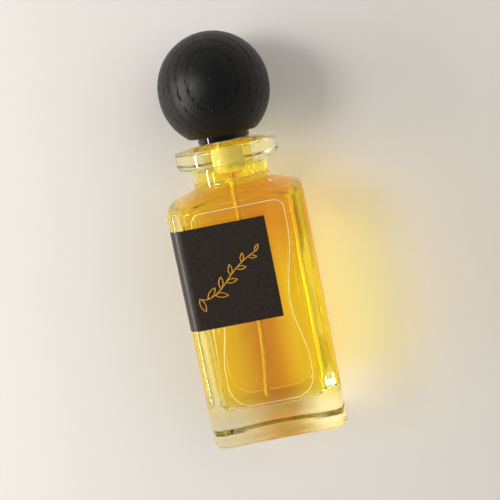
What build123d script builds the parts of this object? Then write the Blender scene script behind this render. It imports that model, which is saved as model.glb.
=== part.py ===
from build123d import *
from math import cos, radians, sqrt, tan
import os

# Perfume bottle: a rectangular glass bottle with a round flanged neck, a crimped spray pump
# and a ball cap. Millimetres, +Z up, the front faces -Y, the origin is under the base's centre.

os.makedirs("parts", exist_ok=True)

# Fits and gaps
running_fit = 0.05  # radial, between pieces that slide or turn on each other
seat_gap = 0.05  # between faces that rest on each other
glue_gap = 0.03  # between bonded, pressed or crimped faces
loose_gap = 0.25  # around pieces that pass each other without guiding

# Glass body
body_width = 45.2
body_depth = 32.0
corner_radius = 4.2
shoulder_height = 83.1  # of the shoulder's edge at the middle of each narrow side
shoulder_angle = 19.0
shoulder_edge_radius = 2.0
base_edge_radius = 2.2
foot_channel_depth = 0.45
foot_channel_share = 0.6  # part of each side that stands clear of the table

# Glass neck and flange
neck_radius = 12.8
neck_flare_radius = 2.5
neck_length = 6.9
flange_radius = 17.2
flange_thickness = 6.1
flange_edge_radius = 1.4
flange_dome = 1.1
under_flange_radius = 0.6

# Glass finish that the pump is crimped on
finish_height = 6.4
finish_root_radius = 6.35
bead_radius = 7.5
bead_height = 3.6
bead_edge = 0.6

# Hollow of the glass
side_wall = 3.6
front_wall = 5.5
shoulder_wall = 3.4
floor_thickness = 11.0
floor_radius = 3.5
waist_corner_radius = 7.5
bulge_corner_radius = 4.7
bulge_height = 14.0
waist_height = 33.5
upper_height = 58.0
finish_clearance = 0.95  # around the pump barrel in the crimp finish
flange_bore_step = 1.4  # the bore is this much wider inside the flange
neck_wall = 4.4
bore_step_height = 1.6
fill_depth = 5.0  # of the liquid's surface below the underside of the flange

# Label
label_height = 33.7
label_top_drop = 7.5  # of the label's top edge below the shoulder's edge
label_right_of_axis = 8.5
label_on_side = 10.0  # flat length on the narrow side
label_thickness = 0.15

# Crimp ferrule, its gaskets and its cover
gasket_thickness = 0.8
ferrule_wall = 0.25
ferrule_crimp_height = 1.2
collar_wall = 0.35
collar_lip = 0.7
collar_overlap = 0.5  # of its lip round the foot of the actuator
ring_wall = 0.46
ring_recess = 1.0  # of the ring above the collar's open end

# Pump housing
housing_bore_radius = 3.0
housing_wall = 0.95
housing_flange_thickness = 1.1
housing_rim_wall = 1.3
housing_rim_height = 1.6
housing_depth = 15.0  # from the glass lip to the end of the wide barrel
housing_taper = 2.0
spigot_wall = 0.92
spigot_length = 3.6
chamber_clearance = 0.25  # around the ball
chamber_height = 2.4
chamber_floor_above_socket = 1.0
inlet_radius = 0.5

# Stem, piston, spring and ball
stroke = 4.3
stem_radius = 1.7
stem_bore_radius = 0.7
stem_collar_step = 0.65
stem_collar_height = 0.85
stem_port_radius = 0.35
valve_head_step = 0.7
valve_head_height = 0.9
pilot_clearance = 0.4  # inside the spring
pilot_length = 1.2
piston_height = 1.55
piston_slip = 0.55
piston_lip = 0.45
stem_gasket_thickness = 0.55
guide_plug_height = 3.0
guide_cap_height = 0.65
wire_radius = 0.2
spring_radius = 2.0
spring_turns = 6.5
ball_radius = 1.0

# Dip tube
tube_radius = 0.9
tube_bore_radius = 0.6
tube_lean = 2.8  # of its foot towards -X
tube_foot_height = 1.15  # above the floor of the hollow
tube_straight_share = 0.55
tube_cut_angle = 40.0

# Actuator
actuator_radius = 6.2
actuator_height = 8.5
actuator_above_ferrule = 0.3  # when it is pressed right down
shell_wall = 0.3
shell_edge_radius = 0.6
skirt_wall = 0.95
hub_wall = 1.15
hub_above_guide = 0.2
socket_depth = 2.4
passage_radius = 0.5
nozzle_drop = 3.0  # of the spray axis below the top
nozzle_radius = 1.8
nozzle_length = 2.1
nozzle_face = 0.6
orifice_radius = 0.15
swirl_radius = 1.0

# Ball cap
cap_radius = 18.45
cap_band = 0.8  # straight height round the ball's waist
cap_rim_wall = 1.55  # of wood round the liner at the flat
cap_above_flange = 2.3
cap_edge_radius = 0.7
liner_wall = 0.8
liner_recess = 0.4
liner_clearance = 0.3  # around the collar, between the ribs
liner_head_clearance = 0.8  # over and around the actuator
rib_count = 8
rib_width = 0.8

# Levels and sizes that follow
slope = tan(radians(shoulder_angle))
half_width = body_width / 2
half_depth = body_depth / 2
neck_root = shoulder_height + (half_width - neck_radius) * slope
flange_bottom = neck_root + neck_length
flange_top = flange_bottom + flange_thickness
finish_root = flange_top + flange_dome
lip = finish_root + finish_height
bead_bottom = lip - bead_height
fill_level = flange_bottom - fill_depth
shoulder_room = half_depth - neck_radius
shoulder_round = min(shoulder_edge_radius, 0.65 * shoulder_room)
neck_flare = min(neck_flare_radius, 0.8 * shoulder_room)

housing_radius = housing_bore_radius + housing_wall
housing_rim_radius = housing_bore_radius + housing_rim_wall
housing_flange_radius = bead_radius - bead_edge
spigot_radius = tube_radius + glue_gap + spigot_wall
chamber_radius = ball_radius + chamber_clearance
finish_bore_radius = housing_radius + finish_clearance
flange_bore_radius = finish_bore_radius + flange_bore_step
neck_bore_radius = neck_radius - neck_wall

gasket_top = lip + gasket_thickness
housing_flange_bottom = gasket_top + seat_gap
housing_flange_top = housing_flange_bottom + housing_flange_thickness
ferrule_inner_top = housing_flange_top + seat_gap
ferrule_top = ferrule_inner_top + ferrule_wall
ferrule_inner_radius = bead_radius + glue_gap
ferrule_radius = ferrule_inner_radius + ferrule_wall
housing_rim_top = ferrule_top + housing_rim_height
guide_top = housing_rim_top + seat_gap + guide_cap_height
guide_bottom = housing_rim_top - guide_plug_height
stem_gasket_bottom = guide_bottom - seat_gap - stem_gasket_thickness

barrel_end = lip - housing_depth
spigot_top = barrel_end - housing_taper
spigot_end = spigot_top - spigot_length
socket_top = spigot_top + seat_gap
chamber_floor = socket_top + chamber_floor_above_socket
chamber_top = chamber_floor + chamber_height
ball_center = chamber_floor + (ball_radius + seat_gap) * sqrt(2) - inlet_radius

skirt_bottom = ferrule_top + actuator_above_ferrule + stroke
collar_bottom = finish_root + loose_gap
collar_top = skirt_bottom + collar_overlap
collar_inner_radius = ferrule_radius + glue_gap + ring_wall + glue_gap
collar_radius = collar_inner_radius + collar_wall
ring_bottom = collar_bottom + ring_recess
collar_opening = actuator_radius + loose_gap

stem_collar_radius = stem_radius + stem_collar_step
valve_head_radius = stem_radius + valve_head_step
pilot_radius = spring_radius - wire_radius - pilot_clearance
hub_radius = stem_radius + running_fit + hub_wall
stem_collar_top = stem_gasket_bottom - seat_gap
stem_collar_bottom = stem_collar_top - stem_collar_height
piston_top = stem_collar_bottom - seat_gap - piston_slip
piston_bottom = piston_top - piston_height
valve_head_top = piston_bottom - seat_gap
valve_head_bottom = valve_head_top - valve_head_height

actuator_top = skirt_bottom + actuator_height
core_radius = actuator_radius - shell_wall - glue_gap
core_top = actuator_top - shell_wall - glue_gap
hub_bottom = guide_top + hub_above_guide + stroke
socket_top_in_core = hub_bottom + socket_depth
stem_top = socket_top_in_core - seat_gap
nozzle_height = actuator_top - nozzle_drop
recess_back = core_radius - nozzle_length - glue_gap

liner_inner_radius = collar_radius + liner_clearance
liner_radius = liner_inner_radius + liner_wall
cap_flat_radius = liner_radius + cap_rim_wall
cap_bottom = finish_root + cap_above_flange
cap_center = cap_bottom + sqrt(cap_radius**2 - cap_flat_radius**2) + cap_band / 2
cap_top = cap_center + cap_band / 2 + cap_radius
liner_shoulder = collar_top + seat_gap
liner_head_inner_radius = actuator_radius + liner_head_clearance
liner_head_radius = liner_head_inner_radius + liner_wall
liner_ceiling = actuator_top + liner_head_clearance
liner_bottom = cap_bottom + liner_recess


def shoulder_at(radius, drop=0.0):
    """Height of the sloping shoulder at a distance from the axis, lowered by a wall."""
    return shoulder_height + (half_width - radius) * slope - drop


def under_shoulder(drop):
    """All the space round the axis under the conical shoulder, lowered by a wall."""
    reach = body_width
    with BuildPart() as cone:
        with BuildSketch(Plane.XZ):
            with BuildLine():
                Polyline(
                    (0, 0),
                    (reach, 0),
                    (reach, shoulder_at(reach, drop)),
                    (0, shoulder_at(0, drop)),
                    close=True,
                )
            make_face()
        revolve(axis=Axis.Z)
    return cone.part


# Glass outside: the block under its conical shoulder
shoulder_cone = under_shoulder(0)
with BuildPart() as glass_block:
    with BuildSketch():
        RectangleRounded(body_width, body_depth, corner_radius)
    extrude(amount=neck_root)
    add(shoulder_cone, mode=Mode.INTERSECT)
    fillet(glass_block.faces().sort_by(Axis.Z)[0].edges(), base_edge_radius)
    shoulder_edges = glass_block.edges().filter_by(
        lambda e: e.bounding_box().min.Z > shoulder_at(half_width + half_depth)
        and not e.is_closed
        and abs(e.center().X) + abs(e.center().Y) > neck_radius
    )
    fillet(shoulder_edges, shoulder_round)


# Hollow of the glass, also used a little smaller for the liquid
def inner_space(gap):
    """The hollow from the floor to the lip, drawn in by a gap on every side."""
    inner_width = body_width - 2 * (side_wall + gap)
    inner_depth = body_depth - 2 * (front_wall + gap)
    floor = floor_thickness + gap
    levels = (
        (floor, bulge_corner_radius),
        (floor_thickness + bulge_height, bulge_corner_radius),
        (floor_thickness + waist_height, waist_corner_radius),
        (floor_thickness + upper_height, bulge_corner_radius),
        (neck_root + neck_length, bulge_corner_radius),
    )
    lowered_cone = under_shoulder(shoulder_wall + gap)
    with BuildPart() as space:
        for height, corner in levels:
            with BuildSketch(Plane.XY.offset(height)):
                RectangleRounded(inner_width, inner_depth, corner)
        loft()
        fillet(space.faces().sort_by(Axis.Z)[0].edges(), floor_radius)
        add(lowered_cone, mode=Mode.INTERSECT)
        step_bottom = flange_bottom - bore_step_height - gap
        bore_foot = neck_root - neck_radius + gap
        with BuildSketch(Plane.XZ):
            with BuildLine():
                Polyline(
                    (0, bore_foot),
                    (neck_bore_radius - gap, bore_foot),
                    (neck_bore_radius - gap, step_bottom),
                    (flange_bore_radius - gap, step_bottom + bore_step_height),
                    (flange_bore_radius - gap, flange_top - flange_dome),
                    (finish_bore_radius - gap, flange_top + flange_dome / 2),
                    (finish_bore_radius - gap, lip + seat_gap),
                    (0, lip + seat_gap),
                    close=True,
                )
            make_face()
        revolve(axis=Axis.Z)
    return space.part


hollow = inner_space(0)

with BuildPart() as glass_bottle:
    add(glass_block.part)
    flare_reach = neck_flare * tan(radians(45 - shoulder_angle / 2))
    flare_start = neck_radius + flare_reach * cos(radians(shoulder_angle))
    flare_top = neck_root + flare_reach
    with BuildSketch(Plane.XZ):
        with BuildLine():
            Polyline(
                (flare_start, shoulder_at(flare_start)),
                (flare_start, neck_root - neck_radius),
                (0, neck_root - neck_radius),
                (0, lip),
                (bead_radius - bead_edge, lip),
                (bead_radius, lip - bead_edge),
                (bead_radius, bead_bottom + bead_edge),
                (finish_root_radius, bead_bottom),
                (finish_root_radius, finish_root),
            )
            dome_edge = flange_radius - flange_edge_radius
            dome_run = dome_edge - finish_root_radius
            dome_radius = (dome_run**2 + flange_dome**2) / (2 * flange_dome)
            RadiusArc((finish_root_radius, finish_root), (dome_edge, flange_top), dome_radius)
            RadiusArc(
                (dome_edge, flange_top),
                (flange_radius, flange_top - flange_edge_radius),
                flange_edge_radius,
            )
            Line(
                (flange_radius, flange_top - flange_edge_radius),
                (flange_radius, flange_bottom + flange_edge_radius),
            )
            RadiusArc(
                (flange_radius, flange_bottom + flange_edge_radius),
                (dome_edge, flange_bottom),
                flange_edge_radius,
            )
            Line((dome_edge, flange_bottom), (neck_radius + under_flange_radius, flange_bottom))
            RadiusArc(
                (neck_radius + under_flange_radius, flange_bottom),
                (neck_radius, flange_bottom - under_flange_radius),
                -under_flange_radius,
            )
            Line((neck_radius, flange_bottom - under_flange_radius), (neck_radius, flare_top))
            RadiusArc(
                (neck_radius, flare_top),
                (flare_start, shoulder_at(flare_start)),
                -neck_flare,
            )
        make_face()
    revolve(axis=Axis.Z)
    add(hollow, mode=Mode.SUBTRACT)
    # Two shallow arched channels leave a foot under each corner
    for plane, side in ((Plane.XZ, body_width), (Plane.YZ, body_depth)):
        with BuildSketch(plane):
            with BuildLine():
                reach = side * foot_channel_share / 2
                ThreePointArc((-reach, 0), (0, foot_channel_depth), (reach, 0))
                Line((-reach, 0), (reach, 0))
            make_face()
        extrude(amount=body_width, both=True, mode=Mode.SUBTRACT)
glass_bottle.part.label = "glass_bottle"
export_step(glass_bottle.part, "parts/glass_bottle.step")

# Dip tube: pushed into the spigot, straight at first, then leaning to one side
tube_top = socket_top - glue_gap
tube_foot = floor_thickness + tube_foot_height
bend_start = tube_top - (tube_top - tube_foot) * tube_straight_share
with BuildLine(Plane.XZ) as tube_route:
    Line((0, tube_top), (0, bend_start))
    TangentArc((0, bend_start), (-tube_lean, tube_foot), tangent=(0, -1))
tube_start = Plane((0, 0, tube_top), z_dir=(0, 0, -1))
with BuildPart() as dip_tube:
    with BuildSketch(tube_start):
        Circle(tube_radius)
        Circle(tube_bore_radius, mode=Mode.SUBTRACT)
    sweep(path=tube_route.wire())
    cut_rise = tube_radius * tan(radians(tube_cut_angle))
    split(
        bisect_by=Plane(
            (-tube_lean, 0, tube_foot + cut_rise),
            z_dir=Vector(0, 0, 1).rotate(Axis.Y, tube_cut_angle),
        ),
        keep=Keep.TOP,
    )
dip_tube.part.label = "dip_tube"
export_step(dip_tube.part, "parts/dip_tube.step")

# Pump housing: barrel, flange, rim, ball chamber and spigot in one moulding
with BuildPart() as pump_housing:
    with BuildSketch(Plane.XZ):
        with BuildLine():
            Polyline(
                (tube_radius + glue_gap, spigot_end),
                (spigot_radius, spigot_end),
                (spigot_radius, spigot_top),
                (housing_radius, barrel_end),
                (housing_radius, housing_flange_bottom),
                (housing_flange_radius, housing_flange_bottom),
                (housing_flange_radius, housing_flange_top),
                (housing_rim_radius, housing_flange_top),
                (housing_rim_radius, housing_rim_top),
                (housing_bore_radius, housing_rim_top),
                (housing_bore_radius, chamber_top),
                (chamber_radius, chamber_top),
                (chamber_radius, chamber_floor + chamber_radius - inlet_radius),
                (inlet_radius, chamber_floor),
                (inlet_radius, socket_top),
                (tube_radius + glue_gap, socket_top),
                close=True,
            )
        make_face()
    revolve(axis=Axis.Z)
pump_housing.part.label = "pump_housing"
export_step(pump_housing.part, "parts/pump_housing.step")

# Liquid: fills the hollow to its level, clear of the spigot and the tube
shrunk_hollow = inner_space(seat_gap)
with BuildPart() as perfume_liquid:
    add(shrunk_hollow)
    split(bisect_by=Plane.XY.offset(fill_level), keep=Keep.BOTTOM)
    with BuildSketch(Plane.XY.offset(spigot_end - seat_gap)):
        Circle(spigot_radius + seat_gap)
    extrude(amount=spigot_length + fill_depth, mode=Mode.SUBTRACT)
    with BuildSketch(tube_start):
        Circle(tube_radius + seat_gap)
    sweep(path=tube_route.wire(), mode=Mode.SUBTRACT)
perfume_liquid.part.label = "perfume_liquid"
export_step(perfume_liquid.part, "parts/perfume_liquid.step")

# Label: paper on the front that turns round the left corner onto the narrow side
label_inset = glue_gap + label_thickness
with BuildPart() as front_label:
    with BuildSketch(Plane.XY.offset(shoulder_height - label_top_drop - label_height)):
        RectangleRounded(
            body_width + 2 * label_inset, body_depth + 2 * label_inset, corner_radius + label_inset
        )
        RectangleRounded(
            body_width + 2 * glue_gap,
            body_depth + 2 * glue_gap,
            corner_radius + glue_gap,
            mode=Mode.SUBTRACT,
        )
        with Locations((label_right_of_axis, corner_radius + label_on_side - half_depth)):
            Rectangle(body_width, body_depth, align=(Align.MAX, Align.MAX), mode=Mode.INTERSECT)
    extrude(amount=label_height)
front_label.part.label = "front_label"
export_step(front_label.part, "parts/front_label.step")

# Neck gasket between the glass lip and the housing's flange
with BuildPart() as neck_gasket:
    with BuildSketch(Plane.XY.offset(lip + glue_gap)):
        Circle(housing_flange_radius)
        Circle(housing_radius + loose_gap, mode=Mode.SUBTRACT)
    extrude(amount=gasket_thickness)
neck_gasket.part.label = "neck_gasket"
export_step(neck_gasket.part, "parts/neck_gasket.step")

# Crimp ferrule: a metal cup pulled over the bead and closed in under it
with BuildPart() as crimp_ferrule:
    with BuildSketch(Plane.XZ):
        with BuildLine():
            crimp_inner = finish_root_radius + glue_gap
            Polyline(
                (housing_rim_radius + glue_gap, ferrule_top),
                (ferrule_radius, ferrule_top),
                (ferrule_radius, bead_bottom),
                (crimp_inner + ferrule_wall, bead_bottom - ferrule_crimp_height),
                (crimp_inner, bead_bottom - ferrule_crimp_height),
                (ferrule_inner_radius, bead_bottom + bead_edge / 2),
                (ferrule_inner_radius, ferrule_inner_top),
                (housing_rim_radius + glue_gap, ferrule_inner_top),
                close=True,
            )
        make_face()
    revolve(axis=Axis.Z)
crimp_ferrule.part.label = "crimp_ferrule"
export_step(crimp_ferrule.part, "parts/crimp_ferrule.step")

# Plastic ring that holds the collar on the ferrule
with BuildPart() as collar_ring:
    with BuildSketch(Plane.XY.offset(ring_bottom)):
        Circle(collar_inner_radius - glue_gap)
        Circle(ferrule_radius + glue_gap, mode=Mode.SUBTRACT)
    extrude(amount=ferrule_top - ring_bottom)
collar_ring.part.label = "collar_ring"
export_step(collar_ring.part, "parts/collar_ring.step")

# Collar: a thin metal sleeve with a lip round the actuator
with BuildPart() as collar_cover:
    with BuildSketch(Plane.XZ):
        with BuildLine():
            Polyline(
                (collar_inner_radius, collar_bottom),
                (collar_radius, collar_bottom),
                (collar_radius, collar_top),
                (collar_opening, collar_top),
                (collar_opening, collar_top - collar_lip),
                (collar_inner_radius, collar_top - collar_lip),
                close=True,
            )
        make_face()
    revolve(axis=Axis.Z)
    rims = collar_cover.edges().filter_by(GeomType.CIRCLE).group_by(Axis.Z)[-1]
    fillet(rims, collar_wall / 2)
collar_cover.part.label = "collar_cover"
export_step(collar_cover.part, "parts/collar_cover.step")

# Stem guide: plugs the housing's mouth and keeps the stem upright
with BuildPart() as stem_guide:
    with BuildSketch(Plane.XZ):
        with BuildLine():
            Polyline(
                (stem_radius + running_fit, guide_bottom),
                (housing_bore_radius - glue_gap, guide_bottom),
                (housing_bore_radius - glue_gap, housing_rim_top + seat_gap),
                (housing_rim_radius, housing_rim_top + seat_gap),
                (housing_rim_radius, guide_top),
                (stem_radius + running_fit, guide_top),
                close=True,
            )
        make_face()
    revolve(axis=Axis.Z)
stem_guide.part.label = "stem_guide"
export_step(stem_guide.part, "parts/stem_guide.step")

# Stem gasket under the guide
with BuildPart() as stem_gasket:
    with BuildSketch(Plane.XY.offset(stem_gasket_bottom)):
        Circle(housing_bore_radius - glue_gap)
        Circle(stem_radius + running_fit, mode=Mode.SUBTRACT)
    extrude(amount=stem_gasket_thickness)
stem_gasket.part.label = "stem_gasket"
export_step(stem_gasket.part, "parts/stem_gasket.step")

# Stem: hollow above the piston, with a cross port, a stop collar and a valve head
port_height = (valve_head_top + stem_collar_bottom) / 2
with BuildPart() as pump_stem:
    with BuildSketch(Plane.XZ):
        with BuildLine():
            Polyline(
                (0, valve_head_bottom - pilot_length),
                (pilot_radius, valve_head_bottom - pilot_length),
                (pilot_radius, valve_head_bottom),
                (valve_head_radius, valve_head_bottom),
                (valve_head_radius, valve_head_top),
                (stem_radius, valve_head_top),
                (stem_radius, stem_collar_bottom),
                (stem_collar_radius, stem_collar_bottom),
                (stem_collar_radius, stem_collar_top),
                (stem_radius, stem_collar_top),
                (stem_radius, stem_top),
                (stem_bore_radius, stem_top),
                (stem_bore_radius, port_height - stem_bore_radius),
                (0, port_height - stem_bore_radius),
                close=True,
            )
        make_face()
    revolve(axis=Axis.Z)
    with BuildSketch(Plane.XZ):
        with Locations((0, port_height)):
            Circle(stem_port_radius)
    extrude(amount=valve_head_radius, both=True, mode=Mode.SUBTRACT)
pump_stem.part.label = "pump_stem"
export_step(pump_stem.part, "parts/pump_stem.step")

# Piston: a sleeve on the stem with a lip above and below that wipes the bore
with BuildPart() as piston:
    with BuildSketch(Plane.XZ):
        with BuildLine():
            lip_radius = housing_bore_radius - running_fit
            web_radius = (stem_radius + running_fit + lip_radius) / 2
            Polyline(
                (stem_radius + running_fit, piston_bottom),
                (lip_radius, piston_bottom),
                (lip_radius, piston_bottom + piston_lip),
                (web_radius, piston_bottom + piston_lip),
                (web_radius, piston_top - piston_lip),
                (lip_radius, piston_top - piston_lip),
                (lip_radius, piston_top),
                (stem_radius + running_fit, piston_top),
                close=True,
            )
        make_face()
    revolve(axis=Axis.Z)
piston.part.label = "piston"
export_step(piston.part, "parts/piston.step")

# Return spring between the housing's ledge and the valve head
spring_bottom = chamber_top + seat_gap + wire_radius
spring_length = valve_head_bottom - seat_gap - wire_radius - spring_bottom
with BuildPart() as return_spring:
    with BuildLine() as coil:
        Helix(spring_length / spring_turns, spring_length, spring_radius, (0, 0, spring_bottom))
    with BuildSketch(Plane(coil.line @ 0, z_dir=coil.line % 0)):
        Circle(wire_radius)
    sweep(is_frenet=True)
return_spring.part.label = "return_spring"
export_step(return_spring.part, "parts/return_spring.step")

# Check ball on its seat
with BuildPart() as check_ball:
    with Locations((0, 0, ball_center)):
        Sphere(ball_radius)
check_ball.part.label = "check_ball"
export_step(check_ball.part, "parts/check_ball.step")

# Actuator core: skirt, hub with the stem's socket, spray passage and nozzle recess
with BuildPart() as actuator_core:
    with BuildSketch(Plane.XZ):
        with BuildLine():
            Polyline(
                (core_radius, skirt_bottom),
                (core_radius, core_top),
                (0, core_top),
                (0, socket_top_in_core),
                (stem_radius + running_fit, socket_top_in_core),
                (stem_radius + running_fit, hub_bottom),
                (hub_radius, hub_bottom),
                (hub_radius, hub_bottom + hub_radius / 2),
                (core_radius - skirt_wall, hub_bottom + hub_radius / 2),
                (core_radius - skirt_wall, skirt_bottom),
                close=True,
            )
        make_face()
    revolve(axis=Axis.Z)
    with BuildSketch(Plane.XY.offset(socket_top_in_core)):
        Circle(passage_radius)
    extrude(amount=nozzle_height - socket_top_in_core, mode=Mode.SUBTRACT)
    with BuildSketch(Plane.XZ):
        with Locations((0, nozzle_height)):
            Circle(passage_radius)
    extrude(amount=recess_back, mode=Mode.SUBTRACT)
    with BuildSketch(Plane.XZ.offset(recess_back)):
        with Locations((0, nozzle_height)):
            Circle(nozzle_radius + glue_gap)
    extrude(amount=nozzle_length + shell_wall, mode=Mode.SUBTRACT)
actuator_core.part.label = "actuator_core"
export_step(actuator_core.part, "parts/actuator_core.step")

# Nozzle insert: a small cup with the spray orifice in its face
with BuildPart() as nozzle_insert:
    with BuildSketch(Plane.XZ.offset(recess_back + glue_gap)):
        with Locations((0, nozzle_height)):
            Circle(nozzle_radius)
    extrude(amount=nozzle_length)
    with BuildSketch(Plane.XZ.offset(recess_back + glue_gap)):
        with Locations((0, nozzle_height)):
            Circle(swirl_radius)
    extrude(amount=nozzle_length - nozzle_face, mode=Mode.SUBTRACT)
    with BuildSketch(Plane.XZ.offset(recess_back + glue_gap)):
        with Locations((0, nozzle_height)):
            Circle(orifice_radius)
    extrude(amount=nozzle_length, mode=Mode.SUBTRACT)
nozzle_insert.part.label = "nozzle_insert"
export_step(nozzle_insert.part, "parts/nozzle_insert.step")

# Actuator shell: a drawn metal cup with a round window for the nozzle
with BuildPart() as actuator_shell:
    with BuildSketch(Plane.XY.offset(skirt_bottom)):
        Circle(actuator_radius)
    extrude(amount=actuator_height)
    fillet(actuator_shell.faces().sort_by(Axis.Z)[-1].edges(), shell_edge_radius)
    with BuildSketch(Plane.XY.offset(skirt_bottom)):
        Circle(actuator_radius - shell_wall)
    extrude(amount=actuator_height - shell_wall, mode=Mode.SUBTRACT)
    with BuildSketch(Plane.XZ):
        with Locations((0, nozzle_height)):
            Circle(nozzle_radius + glue_gap)
    extrude(amount=actuator_radius, mode=Mode.SUBTRACT)
actuator_shell.part.label = "actuator_shell"
export_step(actuator_shell.part, "parts/actuator_shell.step")

# Cap liner: a stepped thimble with grip ribs, bonded into the ball
with BuildPart() as cap_liner:
    with BuildSketch(Plane.XZ):
        with BuildLine():
            Polyline(
                (liner_inner_radius, liner_bottom),
                (liner_radius, liner_bottom),
                (liner_radius, liner_shoulder + liner_wall),
                (liner_head_radius, liner_shoulder + liner_wall),
                (liner_head_radius, liner_ceiling + liner_wall),
                (0, liner_ceiling + liner_wall),
                (0, liner_ceiling),
                (liner_head_inner_radius, liner_ceiling),
                (liner_head_inner_radius, liner_shoulder),
                (liner_inner_radius, liner_shoulder),
                close=True,
            )
        make_face()
    revolve(axis=Axis.Z)
    rib_depth = liner_clearance - running_fit
    with BuildSketch(Plane.XY.offset(liner_bottom + liner_wall)):
        with PolarLocations(liner_inner_radius - rib_depth, rib_count):
            Rectangle(rib_depth + liner_wall / 2, rib_width, align=(Align.MIN, Align.CENTER))
        Circle(collar_radius + running_fit, mode=Mode.SUBTRACT)
    extrude(amount=liner_shoulder - liner_bottom - 2 * liner_wall)
cap_liner.part.label = "cap_liner"
export_step(cap_liner.part, "parts/cap_liner.step")

# Ball cap: turned wood, flat underneath, bored in two steps for the liner
with BuildPart() as ball_cap:
    with BuildSketch(Plane.XZ) as cap_section:
        with BuildLine():
            upper_center = cap_center + cap_band / 2
            lower_center = cap_center - cap_band / 2
            diagonal = cap_radius * sqrt(0.5)
            head_bore = liner_head_radius + glue_gap
            skirt_bore = liner_radius + glue_gap
            bore_step = liner_shoulder + liner_wall + glue_gap
            bore_end = liner_ceiling + liner_wall + glue_gap
            ThreePointArc(
                (0, upper_center + cap_radius),
                (diagonal, upper_center + diagonal),
                (cap_radius, upper_center),
            )
            Line((cap_radius, upper_center), (cap_radius, lower_center))
            ThreePointArc(
                (cap_radius, lower_center),
                (diagonal, lower_center - diagonal),
                (cap_flat_radius, cap_bottom),
            )
            Polyline(
                (cap_flat_radius, cap_bottom),
                (skirt_bore, cap_bottom),
                (skirt_bore, bore_step),
                (head_bore, bore_step),
                (head_bore, bore_end),
                (0, bore_end),
                (0, upper_center + cap_radius),
            )
        make_face()
        fillet(cap_section.vertices().group_by(Axis.Y)[0].sort_by(Axis.X)[-1], cap_edge_radius)
    revolve(axis=Axis.Z)
ball_cap.part.label = "ball_cap"
export_step(ball_cap.part, "parts/ball_cap.step")

print("overall height", round(cap_top, 2))
print("cap flat at", round(cap_bottom, 2), "collar", round(collar_bottom, 2), round(collar_top, 2))
print("lip", round(lip, 2), "flange", round(flange_bottom, 2), round(flange_top, 2))
print("liquid volume ml", round(perfume_liquid.part.volume / 1000, 1))
print("wood above the liner", round(cap_top - liner_ceiling - liner_wall, 2))
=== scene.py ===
# %% [markdown]
# # A perfume bottle with a wooden ball cap
#
# The bottle is a rectangular block of clear glass with a round neck and a wide glass flange. It holds an
# amber perfume, wears a dark paper label round its left front corner, and a black stained wooden ball
# covers its pump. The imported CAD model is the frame: it fixes every size and every moving body, and each
# piece made here rides on one of those bodies. Lengths are written in millimetres and turned into metres
# when a mesh is made.

# %% Load the frame
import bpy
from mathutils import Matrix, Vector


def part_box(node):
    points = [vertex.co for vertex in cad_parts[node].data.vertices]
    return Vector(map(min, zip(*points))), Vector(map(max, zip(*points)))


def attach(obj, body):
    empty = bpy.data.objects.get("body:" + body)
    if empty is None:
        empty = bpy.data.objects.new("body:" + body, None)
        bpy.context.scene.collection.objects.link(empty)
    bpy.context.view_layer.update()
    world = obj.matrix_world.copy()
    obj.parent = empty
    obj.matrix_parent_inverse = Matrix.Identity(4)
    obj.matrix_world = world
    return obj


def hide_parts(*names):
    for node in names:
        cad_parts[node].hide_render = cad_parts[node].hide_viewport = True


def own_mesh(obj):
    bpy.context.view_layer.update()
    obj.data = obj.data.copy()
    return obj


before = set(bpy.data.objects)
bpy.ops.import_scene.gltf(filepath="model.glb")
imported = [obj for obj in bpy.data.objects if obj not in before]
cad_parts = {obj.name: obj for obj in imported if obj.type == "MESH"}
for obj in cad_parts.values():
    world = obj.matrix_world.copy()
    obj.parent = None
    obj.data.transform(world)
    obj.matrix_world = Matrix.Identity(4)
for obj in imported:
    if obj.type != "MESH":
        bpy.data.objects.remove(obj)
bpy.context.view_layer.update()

from math import asin, atan, atan2, cos, hypot, pi, radians, sin, sqrt, tan

import bmesh
import bpy
from mathutils import Matrix, Vector

MM = 0.001
scene = bpy.context.scene


def box_mm(node):
    """The lowest and highest corners of a CAD node at rest, in millimetres."""
    low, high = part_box(node)
    return [v / MM for v in low], [v / MM for v in high]


# %% [markdown]
# ## Camera, surface and light
#
# The bottle lies on its back on a pale tabletop and is seen from nearly above, so in the frame's axes the
# tabletop is a sheet behind its back. The sheet leans a little, because the bottle rests on the back edge
# of its base and on the ball, which stands prouder than the glass. The camera looks from the front,
# slightly from the cap's end, and is rolled so the bottle leans to the left.

# %% Camera
VIEW_DISTANCE = 366.0
VIEW_RISE = radians(9.5)
VIEW_TURN = radians(2.5)
VIEW_ROLL = radians(11.45)
VIEW_TARGET = Vector((1.2, 0.0, 62.65))

toward_camera = Vector((sin(VIEW_TURN) * cos(VIEW_RISE), -cos(VIEW_TURN) * cos(VIEW_RISE), sin(VIEW_RISE)))
level_right = Vector((cos(VIEW_TURN), sin(VIEW_TURN), 0.0))
level_up = toward_camera.cross(level_right)
camera_right = level_right * cos(VIEW_ROLL) - level_up * sin(VIEW_ROLL)
camera_up = level_up * cos(VIEW_ROLL) + level_right * sin(VIEW_ROLL)
camera = bpy.data.objects.new("camera", bpy.data.cameras.new("camera"))
camera.data.lens = 78.0
camera.data.sensor_width = 36.0
camera.data.clip_start = 0.01
camera.matrix_world = Matrix.Translation((VIEW_TARGET + toward_camera * VIEW_DISTANCE) * MM) @ Matrix(
    (camera_right, camera_up, toward_camera)
).transposed().to_4x4()
scene.collection.objects.link(camera)
scene.camera = camera
print("camera at", [round(v, 3) for v in camera.matrix_world.translation])

# %% [markdown]
# Materials are node trees, and a tree of thirty nodes is hard to read as code. So a few small helpers keep
# them short: one starts a material, one adds a node with its values and joins in a single call, and the
# others do a sum, map a range and mix two colours, which come up again and again.


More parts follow.
